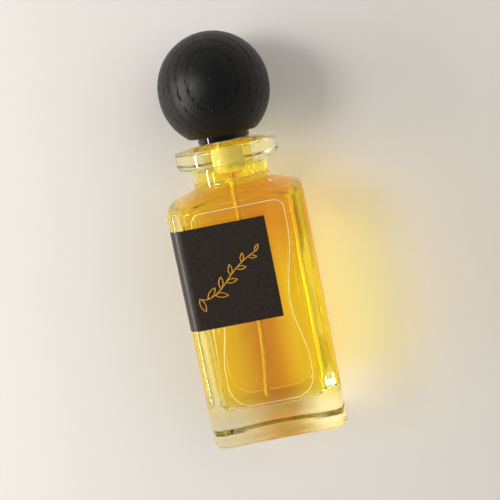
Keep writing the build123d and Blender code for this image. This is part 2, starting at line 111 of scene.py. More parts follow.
# %% Node helpers
def add(tree, kind, values=None, **settings):
    """Add a node; values are numbers or colours to set, or sockets to join, by input name or number."""
    node = tree.nodes.new(kind)
    for key, setting in settings.items():
        setattr(node, key, setting)
    for key, value in (values or {}).items():
        if isinstance(value, bpy.types.NodeSocket):
            tree.links.new(value, node.inputs[key])
        else:
            node.inputs[key].default_value = value
    return node


def maths(tree, operation, first, second):
    """The result of one Math node on two numbers or sockets."""
    return add(tree, "ShaderNodeMath", {0: first, 1: second}, operation=operation).outputs[0]


def ranged(tree, value, start, full, low=0.0, high=1.0):
    """A value whose range from start to full is mapped to the range from low to high."""
    values = {"Value": value, "From Min": start, "From Max": full, "To Min": low, "To Max": high}
    return add(tree, "ShaderNodeMapRange", values).outputs[0]


def blended(tree, share, first, second, way="MIX"):
    """A colour that is the first at share 0 and the second at share 1."""
    values = {0: share, 6: first, 7: second}
    return add(tree, "ShaderNodeMix", values, data_type="RGBA", blend_type=way).outputs[2]


def new_material(name):
    """A material with nothing in it but its output."""
    material = bpy.data.materials.new(name)
    material.use_nodes = True
    material.node_tree.nodes.clear()
    output = material.node_tree.nodes.new("ShaderNodeOutputMaterial")
    return material, material.node_tree, output


def colour(red, green, blue):
    """A linear colour from 0 to 255 values as a screen shows them."""
    shown = [v / 255 for v in (red, green, blue)]
    return [((v + 0.055) / 1.055) ** 2.4 if v > 10 / 255 else v / 12.92 for v in shown] + [1.0]


print("white is", colour(255, 255, 255), "and middle grey", round(colour(188, 188, 188)[0], 2))


# %% Tabletop
BACK_OF_BODY = 16.0
TABLE_LEAN = asin(0.0208)  # the ball's back stands this much prouder, over the length between the two rests
TABLE_GAP = 0.05
SPAN = 900.0
table = bpy.data.objects.new("tabletop", bpy.data.meshes.new("tabletop"))
table_up = Vector((0.0, sin(TABLE_LEAN), cos(TABLE_LEAN)))
table_foot = Vector((0.0, BACK_OF_BODY + TABLE_GAP, 0.0))
table_ends = ((-SPAN, -SPAN), (SPAN, -SPAN), (SPAN, SPAN), (-SPAN, SPAN))
corners = [table_foot + Vector((x, 0, 0)) + table_up * z for x, z in table_ends]
table.data.from_pydata([c * MM for c in corners], [], [(0, 1, 2, 3)])
scene.collection.objects.link(table)
print("tabletop leans", round(TABLE_LEAN * 180 / pi, 2), "degrees")

# %% [markdown]
# The tabletop is plain warm paper. Seen from behind it is clear, so the bottle's back can be looked at too,
# and it lets light through to the bottle's back.

# %% Tabletop material
table_material, tree, output = new_material("tabletop")
where = add(tree, "ShaderNodeTexCoord").outputs["Object"]
grain = add(tree, "ShaderNodeTexNoise", {"Vector": where, "Scale": 9.0, "Detail": 3.0})
tone = blended(tree, grain.outputs["Fac"], colour(223, 219, 214), colour(227, 223, 218))
paper = add(tree, "ShaderNodeBsdfPrincipled", {"Base Color": tone, "Roughness": 0.85})
clear = add(tree, "ShaderNodeBsdfTransparent")
behind = add(tree, "ShaderNodeNewGeometry").outputs["Backfacing"]
shadow = add(tree, "ShaderNodeLightPath").outputs["Is Shadow Ray"]
either = maths(tree, "MAXIMUM", behind, shadow)
mix = add(tree, "ShaderNodeMixShader", {0: either, 1: paper.outputs[0], 2: clear.outputs[0]})
tree.links.new(mix.outputs[0], output.inputs["Surface"])
table.data.materials.append(table_material)
print("tabletop material:", len(tree.nodes), "nodes")

# %% [markdown]
# The light is a window far away on the left, a broad weak fill from above and a tall strip close by that
# draws the bright edges of the glass. Perfume throws a yellow glow on the surface beside it. A render can't
# gather that focused light well, so a small weak yellow lamp stands in for it, hidden from everything but
# the tabletop.


# %% Lights
LIT_MIDDLE = Vector((0.0, 0.0, 62.0))


def soft_box(name, direction, distance, width, height, watts, tint):
    """A rectangular area light that looks at the middle of the bottle."""
    light = bpy.data.lights.new(name, "AREA")
    light.shape = "RECTANGLE"
    light.size, light.size_y = width * MM, height * MM
    light.energy = watts
    light.color = tint
    holder = bpy.data.objects.new(name, light)
    place = LIT_MIDDLE + Vector(direction).normalized() * distance
    facing = (LIT_MIDDLE - place).to_track_quat("-Z", "Y").to_matrix().to_4x4()
    holder.matrix_world = Matrix.Translation(place * MM) @ facing
    scene.collection.objects.link(holder)
    return holder


soft_box("window", (-0.67, -0.70, 0.22), 1800, 512, 512, 12.3, (1.0, 0.985, 0.97))
fill = soft_box("overhead", (0.9, -1.0, 0.4), 1200, 1300, 1300, 6.2, (1.0, 0.97, 0.94))
fill.visible_glossy = False
fill.visible_transmission = False
soft_box("side_strip", (-1.0, -0.35, 0.1), 420, 34, 420, 1.35, (1.0, 0.98, 0.96))
glow = soft_box("amber_glow", (1, 0, 0), 40, 18, 60, 0.0010, (0.85, 0.95, 0.0))
GLOW_PLACE = Vector((34.0, 4.0, 40.0))
glow.matrix_world = Matrix.Translation(GLOW_PLACE * MM) @ Matrix.Rotation(pi / 2, 4, "X")
for seen in ("visible_camera", "visible_glossy", "visible_transmission"):
    setattr(glow, seen, False)

# %% [markdown]
# The room itself gives an even light that is dimmer straight ahead, where the camera stands. What is seen
# through the glass is the bright room all round, so rays that come out of the glass meet one brighter tone.

# %% Room
ROOM_SIDE, ROOM_AHEAD, ROOM_THROUGH_GLASS = 0.5, 0.15, 0.62
world = bpy.data.worlds.new("room")
world.use_nodes = True
sky = world.node_tree
heading = add(sky, "ShaderNodeSeparateXYZ", {0: add(sky, "ShaderNodeTexCoord").outputs["Generated"]})
ahead = ranged(sky, heading.outputs[1], -0.35, -0.9, ROOM_SIDE, ROOM_AHEAD)
through = add(sky, "ShaderNodeLightPath").outputs["Is Transmission Ray"]
seen_through = add(sky, "ShaderNodeMix", {0: through, 2: ahead, 3: ROOM_THROUGH_GLASS})
sky.nodes["Background"].inputs["Color"].default_value = (1.0, 0.985, 0.97, 1.0)
sky.links.new(seen_through.outputs[0], sky.nodes["Background"].inputs["Strength"])
scene.world = world
scene.view_settings.view_transform = "Standard"
print("room light", ROOM_AHEAD, "ahead to", ROOM_SIDE, "at the sides")

# %% [markdown]
# ## Tools for making shapes
#
# Most pieces of a bottle are turned: a half section spun round the axis. Sharp corners don't exist on
# moulded glass or pressed metal, so the section is written as corners with a radius each, and this helper
# lays the arcs. Beside each arc it leaves a point on the straight run, which keeps the shading of the flat
# part flat.


# %% Sections with rounded corners
def rounded_section(corners, steps=6, closed=False):
    """Points (r, z) of a section whose corners (r, z, radius) are rounded by arcs."""
    points = []
    count = len(corners)
    for i, (r, z, radius) in enumerate(corners):
        here = Vector((r, z))
        if radius == 0 or (not closed and i in (0, count - 1)):
            points.append((r, z))
            continue
        back = Vector(corners[i - 1][:2]) - here
        ahead = Vector(corners[(i + 1) % count][:2]) - here
        half = back.angle(ahead) / 2
        reach = min(radius / tan(half), 0.49 * back.length, 0.49 * ahead.length)
        radius = reach * tan(half)
        u, v = back.normalized(), ahead.normalized()
        centre = here + (u + v).normalized() * (radius / sin(half))
        start, end = here + u * reach - centre, here + v * reach - centre
        keep = min(0.12 * radius, 0.2 * reach)
        points.append(tuple(here + u * (reach + keep)))
        for k in range(steps + 1):
            arm = start.normalized().slerp(end.normalized(), k / steps)
            points.append(tuple(centre + arm * radius))
        points.append(tuple(here + v * (reach + keep)))
    return points


# %% [markdown]
# Meshes built from points go through one function, which scales them to metres, shades them smooth except
# at true edges, and prints their number of faces. Rings of points are joined ring to ring; a ring of one
# point closes a surface at a pole.


# %% Mesh makers
def make_piece(name, vertices, faces, sharp=40.0):
    """A mesh object from points in millimetres."""
    mesh = bpy.data.meshes.new(name)
    mesh.from_pydata([(x * MM, y * MM, z * MM) for x, y, z in vertices], [], faces)
    mesh.validate()
    mesh.shade_smooth()
    mesh.set_sharp_from_angle(angle=radians(sharp))
    piece = bpy.data.objects.new(name, mesh)
    scene.collection.objects.link(piece)
    print(f"{name}: {len(mesh.polygons)} faces")
    return piece


def join_rings(rings, closed=False):
    """Vertices and faces from rings of equal length, or of one point at a pole."""
    vertices, starts = [], []
    for ring in rings:
        starts.append(len(vertices))
        vertices.extend(ring)
    faces = []
    pairs = list(zip(range(len(rings)), range(1, len(rings))))
    if closed:
        pairs.append((len(rings) - 1, 0))
    for low, high in pairs:
        a, b = starts[low], starts[high]
        count = max(len(rings[low]), len(rings[high]))
        for j in range(count):
            k = (j + 1) % count
            if len(rings[low]) == 1:
                faces.append((a, b + k, b + j))
            elif len(rings[high]) == 1:
                faces.append((a + j, a + k, b))
            else:
                faces.append((a + j, a + k, b + k, b + j))
    return vertices, faces


def turned(name, section, segments=96, closed=False, sharp=40.0):
    """A turned piece: the section (r, z) runs up the outside and down the inside."""
    rings = []
    for r, z in section:
        if r < 1e-6:
            rings.append([(0.0, 0.0, z)])
        else:
            turns = [2 * pi * k / segments for k in range(segments)]
            rings.append([(r * cos(turn), r * sin(turn), z) for turn in turns])
    return make_piece(name, *join_rings(rings, closed), sharp=sharp)


# %% [markdown]
# ## Glass
#
# The block is a rounded rectangle with a conical shoulder that runs into the neck. One closed mesh carries
# the outside and the hollow, as in the real moulding, because light bends at both. The points round every
# ring keep the same order, from the rounded rectangle of the body to the circles of the neck, so the rings
# join without any seam. The sizes are the CAD's.

# %% Sizes of the glass
low, high = box_mm("glass_bottle")
WIDTH = high[0] - low[0]
DEPTH = 32.0  # the flange is wider than this, so it doesn't come from the box
CORNER = 4.2
SLOPE_STARTS = 22.6  # the cone's distance from the axis where it meets the narrow sides
SLOPE = tan(radians(19.0))
SHOULDER = 83.1
SHOULDER_ROUND = 2.0
BASE_ROUND = 2.2
FOOT_RISE = 0.45
FOOT_X, FOOT_Y = 13.56, 9.6
NECK = 12.8
FLARE_FROM = (14.486, 85.894)
FLARE_TO = (12.8, 88.257)
FLANGE_LOW, FLANGE_HIGH, FLANGE = 93.374, 99.474, 17.2
DOME_TOP = (6.35, 100.574)
LIP = high[2]
print("glass", [round(b - a, 2) for a, b in zip(low, high)], "lip at", round(LIP, 3))


def cone(radius, drop=0.0):
    """Height of the conical shoulder at a distance from the axis."""
    return SHOULDER + (SLOPE_STARTS - radius) * SLOPE - drop


# %% Outline of the block
CORNER_STEPS = 8
WIDE_POINTS = 25
NARROW_POINTS = 13
CLOSE_BY = (0.03, 0.15, 0.3, 0.5)  # distances of the extra points beside each corner


def outline(width, depth, corner_x, corner_y):
    """Points (x, y, nx, ny) round a rectangle with elliptical corners, always in the same order."""
    points = []

    def put(x, y, nx, ny, turn):
        length = hypot(nx, ny)
        c, s = cos(turn), sin(turn)
        points.append((x * c - y * s, x * s + y * c, (nx * c - ny * s) / length, (nx * s + ny * c) / length))

    for quarter in range(4):
        turn = quarter * pi / 2
        wide = quarter % 2 == 0
        out, along = (width / 2, depth / 2) if wide else (depth / 2, width / 2)
        r_out, r_along = (corner_x, corner_y) if wide else (corner_y, corner_x)
        count = NARROW_POINTS if wide else WIDE_POINTS
        near = [along - r_along - d for d in CLOSE_BY]
        last = atan2(near[-1] - 0.3, out)
        reach = [out * tan((2 * k / (count - 1) - 1) * last) for k in range(count)]
        for y in [-v for v in near] + reach + near[::-1]:
            put(out, y, 1.0, 0.0, turn)
        near = [0.0] + [d / max(corner_x, corner_y) for d in CLOSE_BY[1:]]
        middle = [near[-1] + (pi / 2 - 2 * near[-1]) * k / CORNER_STEPS for k in range(1, CORNER_STEPS)]
        for angle in near + middle + [pi / 2 - a for a in near[::-1]]:
            x = out - r_out + r_out * cos(angle)
            y = along - r_along + r_along * sin(angle)
            put(x, y, cos(angle) * r_along, sin(angle) * r_out, turn)
    return points


block = outline(WIDTH, DEPTH, CORNER, CORNER)
angles = [atan2(y, x) for x, y, _, _ in block]
print("points round a ring:", len(block))


def circle(radius, height):
    """A ring of the neck, with its points at the same angles as the block's."""
    return [(radius * cos(a), radius * sin(a), height) for a in angles]


# %% [markdown]
# The edge between wall and shoulder is an arc whose shape changes round the block, because the cone meets
# the wall at a different slope in every direction. So the arc is worked out point by point.


# %% Shoulder rings
def shoulder_rings(wall, edge, drop, end_radius, steps):
    """Rings from the wall over the rounded shoulder edge and up the cone to a circle."""
    rings = []
    for k in range(8):
        ring = []
        for x, y, nx, ny in wall:
            slope = SLOPE * (nx * x + ny * y) / hypot(x, y)
            turn = pi / 2 - atan(slope)
            low = cone(hypot(x, y), drop) + slope * edge - edge * sqrt(1 + slope * slope)
            phi = turn * (k - 1) / 6
            if k == 0:
                ring.append((x, y, low - 0.15))
                continue
            inward = edge - edge * cos(phi)
            px, py = x - nx * inward, y - ny * inward
            straight = cone(hypot(x, y), drop) + slope * inward
            ring.append((px, py, low + edge * sin(phi) + cone(hypot(px, py), drop) - straight))
        rings.append(ring)
    last = rings[-1]
    for k in range(1, steps + 1):
        t = k / steps
        ring = []
        for (x, y, _), a in zip(last, angles):
            px = x + (end_radius * cos(a) - x) * t
            py = y + (end_radius * sin(a) - y) * t
            ring.append((px, py, cone(hypot(px, py), drop)))
        rings.append(ring)
    return rings


# %% [markdown]
# Under the base two shallow arches leave a foot at each corner, so the bottle stands without rocking. They
# also catch the light along the bottom edge.


# %% Base rings
def foot_lift(x, y):
    """How far the underside is raised between the feet."""
    return FOOT_RISE * max(0.0, 1 - (x / FOOT_X) ** 2, 1 - (y / FOOT_Y) ** 2)


def base_rings():
    rings = [[(0.0, 0.0, foot_lift(0, 0))]]
    for share in (0.08, 0.25, 0.45, 0.65, 0.82, 0.93, 0.99):
        ring = []
        for x, y, nx, ny in block:
            px, py = (x - nx * BASE_ROUND) * share, (y - ny * BASE_ROUND) * share
            ring.append((px, py, foot_lift(px, py)))
        rings.append(ring)
    for k in range(9):
        phi = pi / 2 * k / 8
        ring = []
        for x, y, nx, ny in block:
            inward = BASE_ROUND - BASE_ROUND * sin(phi)
            px, py = x - nx * inward, y - ny * inward
            ring.append((px, py, BASE_ROUND - BASE_ROUND * cos(phi) + foot_lift(px, py) * cos(phi) ** 2))
        rings.append(ring)
    return rings


def wall_rings(wall, heights):
    return [[(x, y, z) for x, y, _, _ in wall] for z in heights]


outside = base_rings()
outside += wall_rings(block, (2.6, 12, 22, 32, 42, 52, 62, 72, 78))
outside += shoulder_rings(block, SHOULDER_ROUND, 0.0, FLARE_FROM[0], 6)

# %% [markdown]
# Neck, flange and the bead that the pump is crimped on are circles, so they follow a rounded section. The
# flange is a thick glass ring with a slightly domed top.

# %% Neck and flange
FLARE_ROUND, FLARE_TURN = 2.5, radians(71.0)
RIM_ROUND, DOME_RISE = 1.4, 1.1
flare_centre = (FLARE_TO[0] + FLARE_ROUND, FLARE_TO[1])
for k in range(1, 8):
    phi = FLARE_TURN * (1 - k / 7)
    outside.append(circle(flare_centre[0] - FLARE_ROUND * cos(phi), flare_centre[1] - FLARE_ROUND * sin(phi)))
dome_edge = FLANGE - RIM_ROUND
dome_radius = ((dome_edge - DOME_TOP[0]) ** 2 + DOME_RISE**2) / (2 * DOME_RISE)
dome = []
for k in range(1, 8):
    r = dome_edge + (DOME_TOP[0] - dome_edge) * k / 8
    dome.append((r, DOME_TOP[1] - dome_radius + sqrt(dome_radius**2 - (r - DOME_TOP[0]) ** 2)))
rim = rounded_section(
    [
        (NECK, FLARE_TO[1] + 0.4, 0),
        (NECK, FLANGE_LOW, 0.6),
        (FLANGE, FLANGE_LOW, RIM_ROUND),
        (FLANGE, FLANGE_HIGH, RIM_ROUND),
        (dome[0][0], dome[0][1], 0),
    ]
)
finish = rounded_section(
    [
        dome[-1] + (0,),
        DOME_TOP + (0.25,),
        (6.35, 103.374, 0.2),
        (7.5, 103.974, 0.3),
        (7.5, LIP, 0.6),
        (4.9, LIP, 0.5),
        (4.9, 100.024, 0.6),
        (6.3, 98.374, 0.6),
        (6.3, FLANGE_LOW, 0.8),
        (8.4, 91.774, 0.8),
        (8.4, 88.6, 0),
    ]
)
outside += [circle(r, z) for r, z in rim[:-1] + dome[:-1] + finish]
print("rings of the outside:", len(outside))

# %% [markdown]
# The hollow is narrower than the block by thick walls. Its front and back are flats that swell and pinch on
# the way up, and round off in a U at the floor. Beside them the hollow curves back to its sides, so the
# perfume is deep and orange in the middle and thin and yellow at the sides.

# %% Hollow of the glass
HOLLOW_WIDTH, HOLLOW_DEPTH = 38.0, 21.0
FLOOR, FLOOR_ROUND = 11.0, 3.0
WALL_DROP = 3.4
INNER_ROUND = 1.6
BORE = 8.4
FLAT = ((20.5, 14.3), (25.0, 14.3), (44.5, 11.4), (70.0, 15.3), (93.4, 15.5))  # heights and half widths
FLAT_BOW = 8.0  # radius of the U at the foot of the flats
DEEPER = 1.6  # the curve beside a flat runs this much further back than across
SHARE_MOST = 0.95


def ease(t):
    return t * t * (3 - 2 * t)


def flat_half(height):
    """Half width of the hollow's front and back flats at a height."""
    (z0, c0) = FLAT[0]
    if height <= z0:
        fall = min(z0 - height, FLAT_BOW)
        return c0 - FLAT_BOW + sqrt(FLAT_BOW**2 - fall**2)
    for (z0, c0), (z1, c1) in zip(FLAT, FLAT[1:]):
        if height <= z1:
            return c0 + (c1 - c0) * ease((height - z0) / (z1 - z0))
    return FLAT[-1][1]


def hollow_outline(height, grow=0.0):
    """Outline of the hollow at a height, grown by a hair for the liquid."""
    across = HOLLOW_WIDTH / 2 - flat_half(height)
    back = min(across * DEEPER, HOLLOW_DEPTH / 2 * SHARE_MOST - 1.0)
    return outline(HOLLOW_WIDTH + 2 * grow, HOLLOW_DEPTH + 2 * grow, across + grow, back + grow)


print("the flats are", 2 * flat_half(25.0), "mm wide low down and", 2 * flat_half(44.5), "at the waist")


# %% Rings of the hollow
def hollow_rings(grow):
    """Rings of the hollow from the middle of its floor up its walls."""
    rings = [[(0.0, 0.0, FLOOR - grow)]]
    for share in (0.1, 0.3, 0.55, 0.78, 0.92, 0.985):
        base = hollow_outline(FLOOR + 0.1, grow)
        inner = [((x - nx * FLOOR_ROUND) * share, (y - ny * FLOOR_ROUND) * share) for x, y, nx, ny in base]
        rings.append([(x, y, FLOOR - grow) for x, y in inner])
    for k in range(9):
        phi = pi / 2 * k / 8
        inward = FLOOR_ROUND - FLOOR_ROUND * sin(phi)
        rise = FLOOR_ROUND - FLOOR_ROUND * cos(phi)
        base = hollow_outline(FLOOR + 0.1 + rise, grow)
        rings.append([(x - nx * inward, y - ny * inward, FLOOR - grow + rise) for x, y, nx, ny in base])
    height = FLOOR + FLOOR_ROUND + 0.3
    while height < 79.0:
        rings.append([(x, y, height) for x, y, _, _ in hollow_outline(height, grow)])
        height += 0.5 if height < 21 else 1.6
    return rings


def hollow_top(grow):
    """Rings over the hollow's rounded top edge and up its cone to the neck's bore."""
    wall = hollow_outline(80.0, grow)
    flare = 1.6
    drop = WALL_DROP - grow
    rings = shoulder_rings(wall, INNER_ROUND, drop, BORE + grow + flare * 0.8, 4)
    centre_z = cone(BORE + grow + flare, drop) + flare * 0.9
    for k in range(1, 6):
        phi = radians(66.0) * (1 - k / 5)
        rings.append(circle(BORE + grow + flare - flare * cos(phi), centre_z - flare * sin(phi) + 0.25))
    return rings


hollow = hollow_rings(0.0) + hollow_top(0.0)
glass_bottle = make_piece("bottle_glass", *join_rings(outside + hollow[::-1]), sharp=60.0)

# %% [markdown]
# The liquid fills the hollow and stands 5 mm below the flange. Its mesh reaches a hair into the glass, so
# light passes straight from glass to liquid with no film of air between, and the bend at the wall comes out
# right.

# %% Liquid
WET = 0.04
FILL = box_mm("perfume_liquid")[1][2]
liquid_rings = hollow_rings(WET) + hollow_top(WET)
liquid_rings = [ring for ring in liquid_rings if max(p[2] for p in ring) < FILL - 0.5]
liquid_rings.append(circle(BORE + WET, FILL + 0.1))
for share, height in ((0.985, 0.02), (0.96, -0.1), (0.92, -0.16), (0.8, -0.18), (0.5, -0.18), (0.2, -0.18)):
    liquid_rings.append(circle((BORE + WET) * share, FILL + height))
liquid_rings.append([(0.0, 0.0, FILL - 0.18)])
liquid = make_piece("perfume", *join_rings(liquid_rings), sharp=60.0)
print("liquid stands at", round(FILL, 2))

# %% [markdown]
# The bottle lies on its back, so a little perfume has run up the neck and wets the bore as far as the
# crimp. It is a thin layer beside the full depth below the level, so it shows as clear yellow instead of
# orange.

# %% Perfume in the neck
IN_BARREL = 3.6  # inside the pump barrel's wall, so no film of air shows round it
pool_foot, pool_top = FILL - 0.22, 98.6
wet_section = [(1.6, pool_foot), (BORE * 0.6, pool_foot), (BORE + WET, pool_foot), (BORE + WET, FILL + 0.4)]
wet_section += [(r + WET, z) for r, z in finish[::-1] if FILL + 0.5 < z < 98.4 and r < 8.5]
wet_section += [(5.2, pool_top), (IN_BARREL, pool_top), (IN_BARREL, 90.3)]
wet_neck = turned("perfume_in_neck", wet_section, segments=120, closed=True)

# %% [markdown]
# ## Shared effects
#
# No real surface has one even tone. This node group mixes two colours and two roughnesses by a cloudy noise
# and gives a height for bump, so each finish takes its own scale and strength from the same small tool.

# %% Mottle group
mottle = bpy.data.node_groups.new("mottle", "ShaderNodeTree")
for name, kind, value in (
    ("Position", "NodeSocketVector", None),
    ("Scale", "NodeSocketFloat", 400.0),
    ("Detail", "NodeSocketFloat", 3.0),
    ("Light Colour", "NodeSocketColor", (0.8, 0.8, 0.8, 1.0)),
    ("Dark Colour", "NodeSocketColor", (0.7, 0.7, 0.7, 1.0)),
    ("Smooth", "NodeSocketFloat", 0.3),
    ("Rough", "NodeSocketFloat", 0.4),
):
    socket = mottle.interface.new_socket(name=name, in_out="INPUT", socket_type=kind)
    if value is not None:
        socket.default_value = value
outcomes = (("Colour", "NodeSocketColor"), ("Roughness", "NodeSocketFloat"), ("Height", "NodeSocketFloat"))
for name, kind in outcomes:
    mottle.interface.new_socket(name=name, in_out="OUTPUT", socket_type=kind)
given = mottle.nodes.new("NodeGroupInput")
result = mottle.nodes.new("NodeGroupOutput")
cloud = add(
    mottle,
    "ShaderNodeTexNoise",
    {"Vector": given.outputs["Position"], "Scale": given.outputs["Scale"], "Detail": given.outputs["Detail"]},
)
spread = ranged(mottle, cloud.outputs["Fac"], 0.3, 0.7)
patchy = blended(mottle, spread, given.outputs["Dark Colour"], given.outputs["Light Colour"])
rough = ranged(mottle, spread, 0.0, 1.0, given.outputs["Smooth"], given.outputs["Rough"])
mottle.links.new(patchy, result.inputs["Colour"])
mottle.links.new(rough, result.inputs["Roughness"])
mottle.links.new(spread, result.inputs["Height"])
print("group:", mottle.name, [s.name for s in mottle.interface.items_tree])

# %% [markdown]
# A moulded or drawn finish is that group, a bump and a Principled shader. The numbers that are the same all
# over a surface are set on the shader itself.


# %% Moulded and drawn finishes
RELIEF = 0.05 * MM


def mottled(tree, position, light, dark, smooth, rough, scale):
    """The mottle group in a material, with that material's own values."""
    values = {"Position": position, "Scale": scale, "Smooth": smooth, "Rough": rough}
    values.update({"Light Colour": light, "Dark Colour": dark})
    return add(tree, "ShaderNodeGroup", values, node_tree=mottle)


def finish_material(name, light, dark, smooth, rough, scale, bump, stretch=(1, 1, 1), **shader):
    """A mottled finish; shader takes Principled values by name, with _ for a space."""
    material, tree, output = new_material(name)
    where = add(tree, "ShaderNodeTexCoord").outputs["Object"]
    mapped = add(tree, "ShaderNodeMapping", {"Vector": where, "Scale": stretch})
    tone = mottled(tree, mapped.outputs[0], light, dark, smooth, rough, scale)
    bumps = {"Height": tone.outputs["Height"], "Strength": bump, "Distance": RELIEF}
    relief = add(tree, "ShaderNodeBump", bumps)
    looks = {"Base Color": tone.outputs["Colour"], "Roughness": tone.outputs["Roughness"]}
    surface = add(tree, "ShaderNodeBsdfPrincipled", looks)
    tree.links.new(relief.outputs[0], surface.inputs["Normal"])
    for key, value in shader.items():
        surface.inputs[key.replace("_", " ")].default_value = value
    tree.links.new(surface.outputs[0], output.inputs["Surface"])
    return material


black_gloss = finish_material(
    "collar_black", colour(9, 9, 10), colour(6, 6, 7), 0.05, 0.09, 700, 0.04,
    Coat_Weight=0.2, Coat_Roughness=0.03, IOR=1.4
)
natural = finish_material(
    "natural_plastic", colour(252, 246, 226), colour(246, 240, 216), 0.06, 0.12, 300, 0.03,
    IOR=1.04, Transmission_Weight=0.72
)
tube_plastic = finish_material(
    "tube_plastic", colour(255, 248, 226), colour(248, 240, 214), 0.08, 0.16, 300, 0.03,
    IOR=1.04, Transmission_Weight=0.55
)
liner_plastic = finish_material(
    "liner_plastic", colour(232, 231, 226), colour(222, 221, 214), 0.34, 0.48, 900, 0.2,
    Subsurface_Weight=0.3, Subsurface_Scale=0.002
)
white_plastic = finish_material(
    "white_plastic", colour(238, 238, 236), colour(229, 229, 226), 0.3, 0.42, 900, 0.15
)
black_plastic = finish_material(
    "black_plastic", colour(34, 34, 35), colour(28, 28, 29), 0.3, 0.45, 1100, 0.25
)
grey_rubber = finish_material(
    "grey_rubber", colour(118, 118, 120), colour(104, 104, 107), 0.65, 0.8, 1500, 0.5
)
bare_metal = finish_material(
    "bare_aluminium", colour(214, 214, 216), colour(200, 200, 203), 0.22, 0.36, 1400, 0.2,
    (1, 1, 0.06), Metallic=1.0
)
spring_steel = finish_material(
    "spring_steel", colour(205, 205, 208), colour(186, 186, 190), 0.18, 0.3, 2500, 0.15, Metallic=1.0
)
print("finishes ready")

# %% [markdown]
# Clear glass bends light and perfume also soaks some of it up. Both are Principled shaders that let all
# light through, and the liquid has an absorbing volume inside. Moulded glass is never perfectly flat, so a
# slow, faint wave bends what is seen through it. Shadow rays go straight on, which lets light reach the
# tabletop. So does a ray that has bounced about inside for long, because a render would stop it there and
# leave a black speck.


# %% Clear bodies
STRAIGHT_AFTER = 6.5  # bounces, past which a ray goes straight on
WHITE = (1.0, 1.0, 1.0, 1.0)


def clear_body(name, ior, wave_scale, wave, tint, dye=None, density=0.0):
    """A clear body with its dye; gives the material and its two shaders, bent light and straight."""
    material, tree, output = new_material(name)
    where = add(tree, "ShaderNodeTexCoord").outputs["Object"]
    swell = add(tree, "ShaderNodeTexNoise", {"Vector": where, "Scale": wave_scale, "Detail": 1.0})
    bumps = {"Height": swell.outputs["Fac"], "Strength": wave, "Distance": 1.0 * MM}
    relief = add(tree, "ShaderNodeBump", bumps)
    looks = {"Base Color": tint, "Roughness": 0.0, "IOR": ior, "Transmission Weight": 1.0}
    body = add(tree, "ShaderNodeBsdfPrincipled", looks)
    tree.links.new(relief.outputs[0], body.inputs["Normal"])
    light_path = add(tree, "ShaderNodeLightPath")
    depth = light_path.outputs["Ray Depth"]
    early = ranged(tree, depth, 0.0, 2.0, 0.93, 0.7)
    late = ranged(tree, depth, 4.0, 5.0, 0.0, 0.37)
    straight = add(tree, "ShaderNodeBsdfTransparent", {"Color": maths(tree, "ADD", early, late)})
    deep = maths(tree, "GREATER_THAN", depth, STRAIGHT_AFTER)
    which = maths(tree, "MAXIMUM", deep, light_path.outputs["Is Shadow Ray"])
    mix = add(tree, "ShaderNodeMixShader", {0: which, 1: body.outputs[0], 2: straight.outputs[0]})
    tree.links.new(mix.outputs[0], output.inputs["Surface"])
    if dye:
        soak = add(tree, "ShaderNodeVolumeAbsorption", {"Color": dye, "Density": density})
        tree.links.new(soak.outputs[0], output.inputs["Volume"])
    return material, body, straight


glass, glass_body, glass_straight = clear_body("clear_glass", 1.5, 45.0, 0.04, (0.985, 0.99, 0.98, 1.0))
print("clear glass:", len(glass.node_tree.nodes), "nodes")

# %% [markdown]
# Light that has crossed the perfume several times comes out of the thick glass golden, which is why the
# walls glow. A render follows too few crossings to show it, so that light is painted into the glass's own
# colour as a painted glow: golden at the walls, orange behind the middle, and clear at the flange's edge, with
# a painted reflection of the perfume in the base that shows khaki. The colour changes with the height in
# zones, and across the bottle inside each zone, where it differs from left to right with the light from the
# left.


# %% Painted glow of the glass
PAINTED_GLOW_TONES = (
    # the height where a tone starts, the height where it is full, its stops from the left side to the right
    (-2.0, -1.0, (
        (0.0, (0.93, 0.9, 0.8)), (0.28, (0.93, 0.85, 0.6)), (0.42, (0.9, 0.5, 0.16)),
        (0.58, (0.9, 0.5, 0.16)), (0.72, (0.99, 0.93, 0.7)),
    )),
    (1.6, 3.0, (
        (0.0, (0.93, 0.9, 0.8)), (0.2, (0.84, 0.78, 0.6)), (0.5, (0.66, 0.5, 0.22)),
        (0.64, (0.66, 0.52, 0.24)), (0.82, (0.99, 0.98, 0.95)),
    )),
    (9.5, 13.5, (
        (0.0, (1.0, 0.94, 0.7)), (0.13, (1.0, 0.94, 0.42)), (0.3, (0.93, 0.86, 0.55)),
        (0.47, (0.8, 0.62, 0.5)), (0.58, (0.84, 0.68, 0.45)), (0.74, (0.98, 0.98, 0.5)),
        (0.9, (1.0, 0.96, 0.26)),
    )),
    (52.0, 72.0, (
        (0.0, (1.0, 0.93, 0.6)), (0.13, (1.0, 0.9, 0.38)), (0.3, (0.93, 0.78, 0.5)),
        (0.6, (0.87, 0.68, 0.5)), (0.85, (0.93, 0.74, 0.45)), (0.95, (0.98, 0.84, 0.25)),
    )),
    (84.5, 87.0, ((0.2, (1.0, 0.97, 0.5)), (0.8, (1.0, 0.98, 0.5)))),
    (92.5, 94.5, (
        (0.2, (0.99, 0.98, 0.95)), (0.34, (1.0, 0.95, 0.55)), (0.66, (1.0, 0.95, 0.55)),
        (0.8, (0.99, 0.98, 0.95)),
    )),
)


def colour_along(tree, place, stops):
    """A colour that runs through the stops (place from 0 to 1, colour) as the place grows."""
    ramp = add(tree, "ShaderNodeValToRGB", {0: place})
    while len(ramp.color_ramp.elements) < len(stops):
        ramp.color_ramp.elements.new(0.5)
    for element, (stop, tone) in zip(ramp.color_ramp.elements, stops):
        element.position = stop
        element.color = tone + (1.0,)
    return ramp.outputs[0]


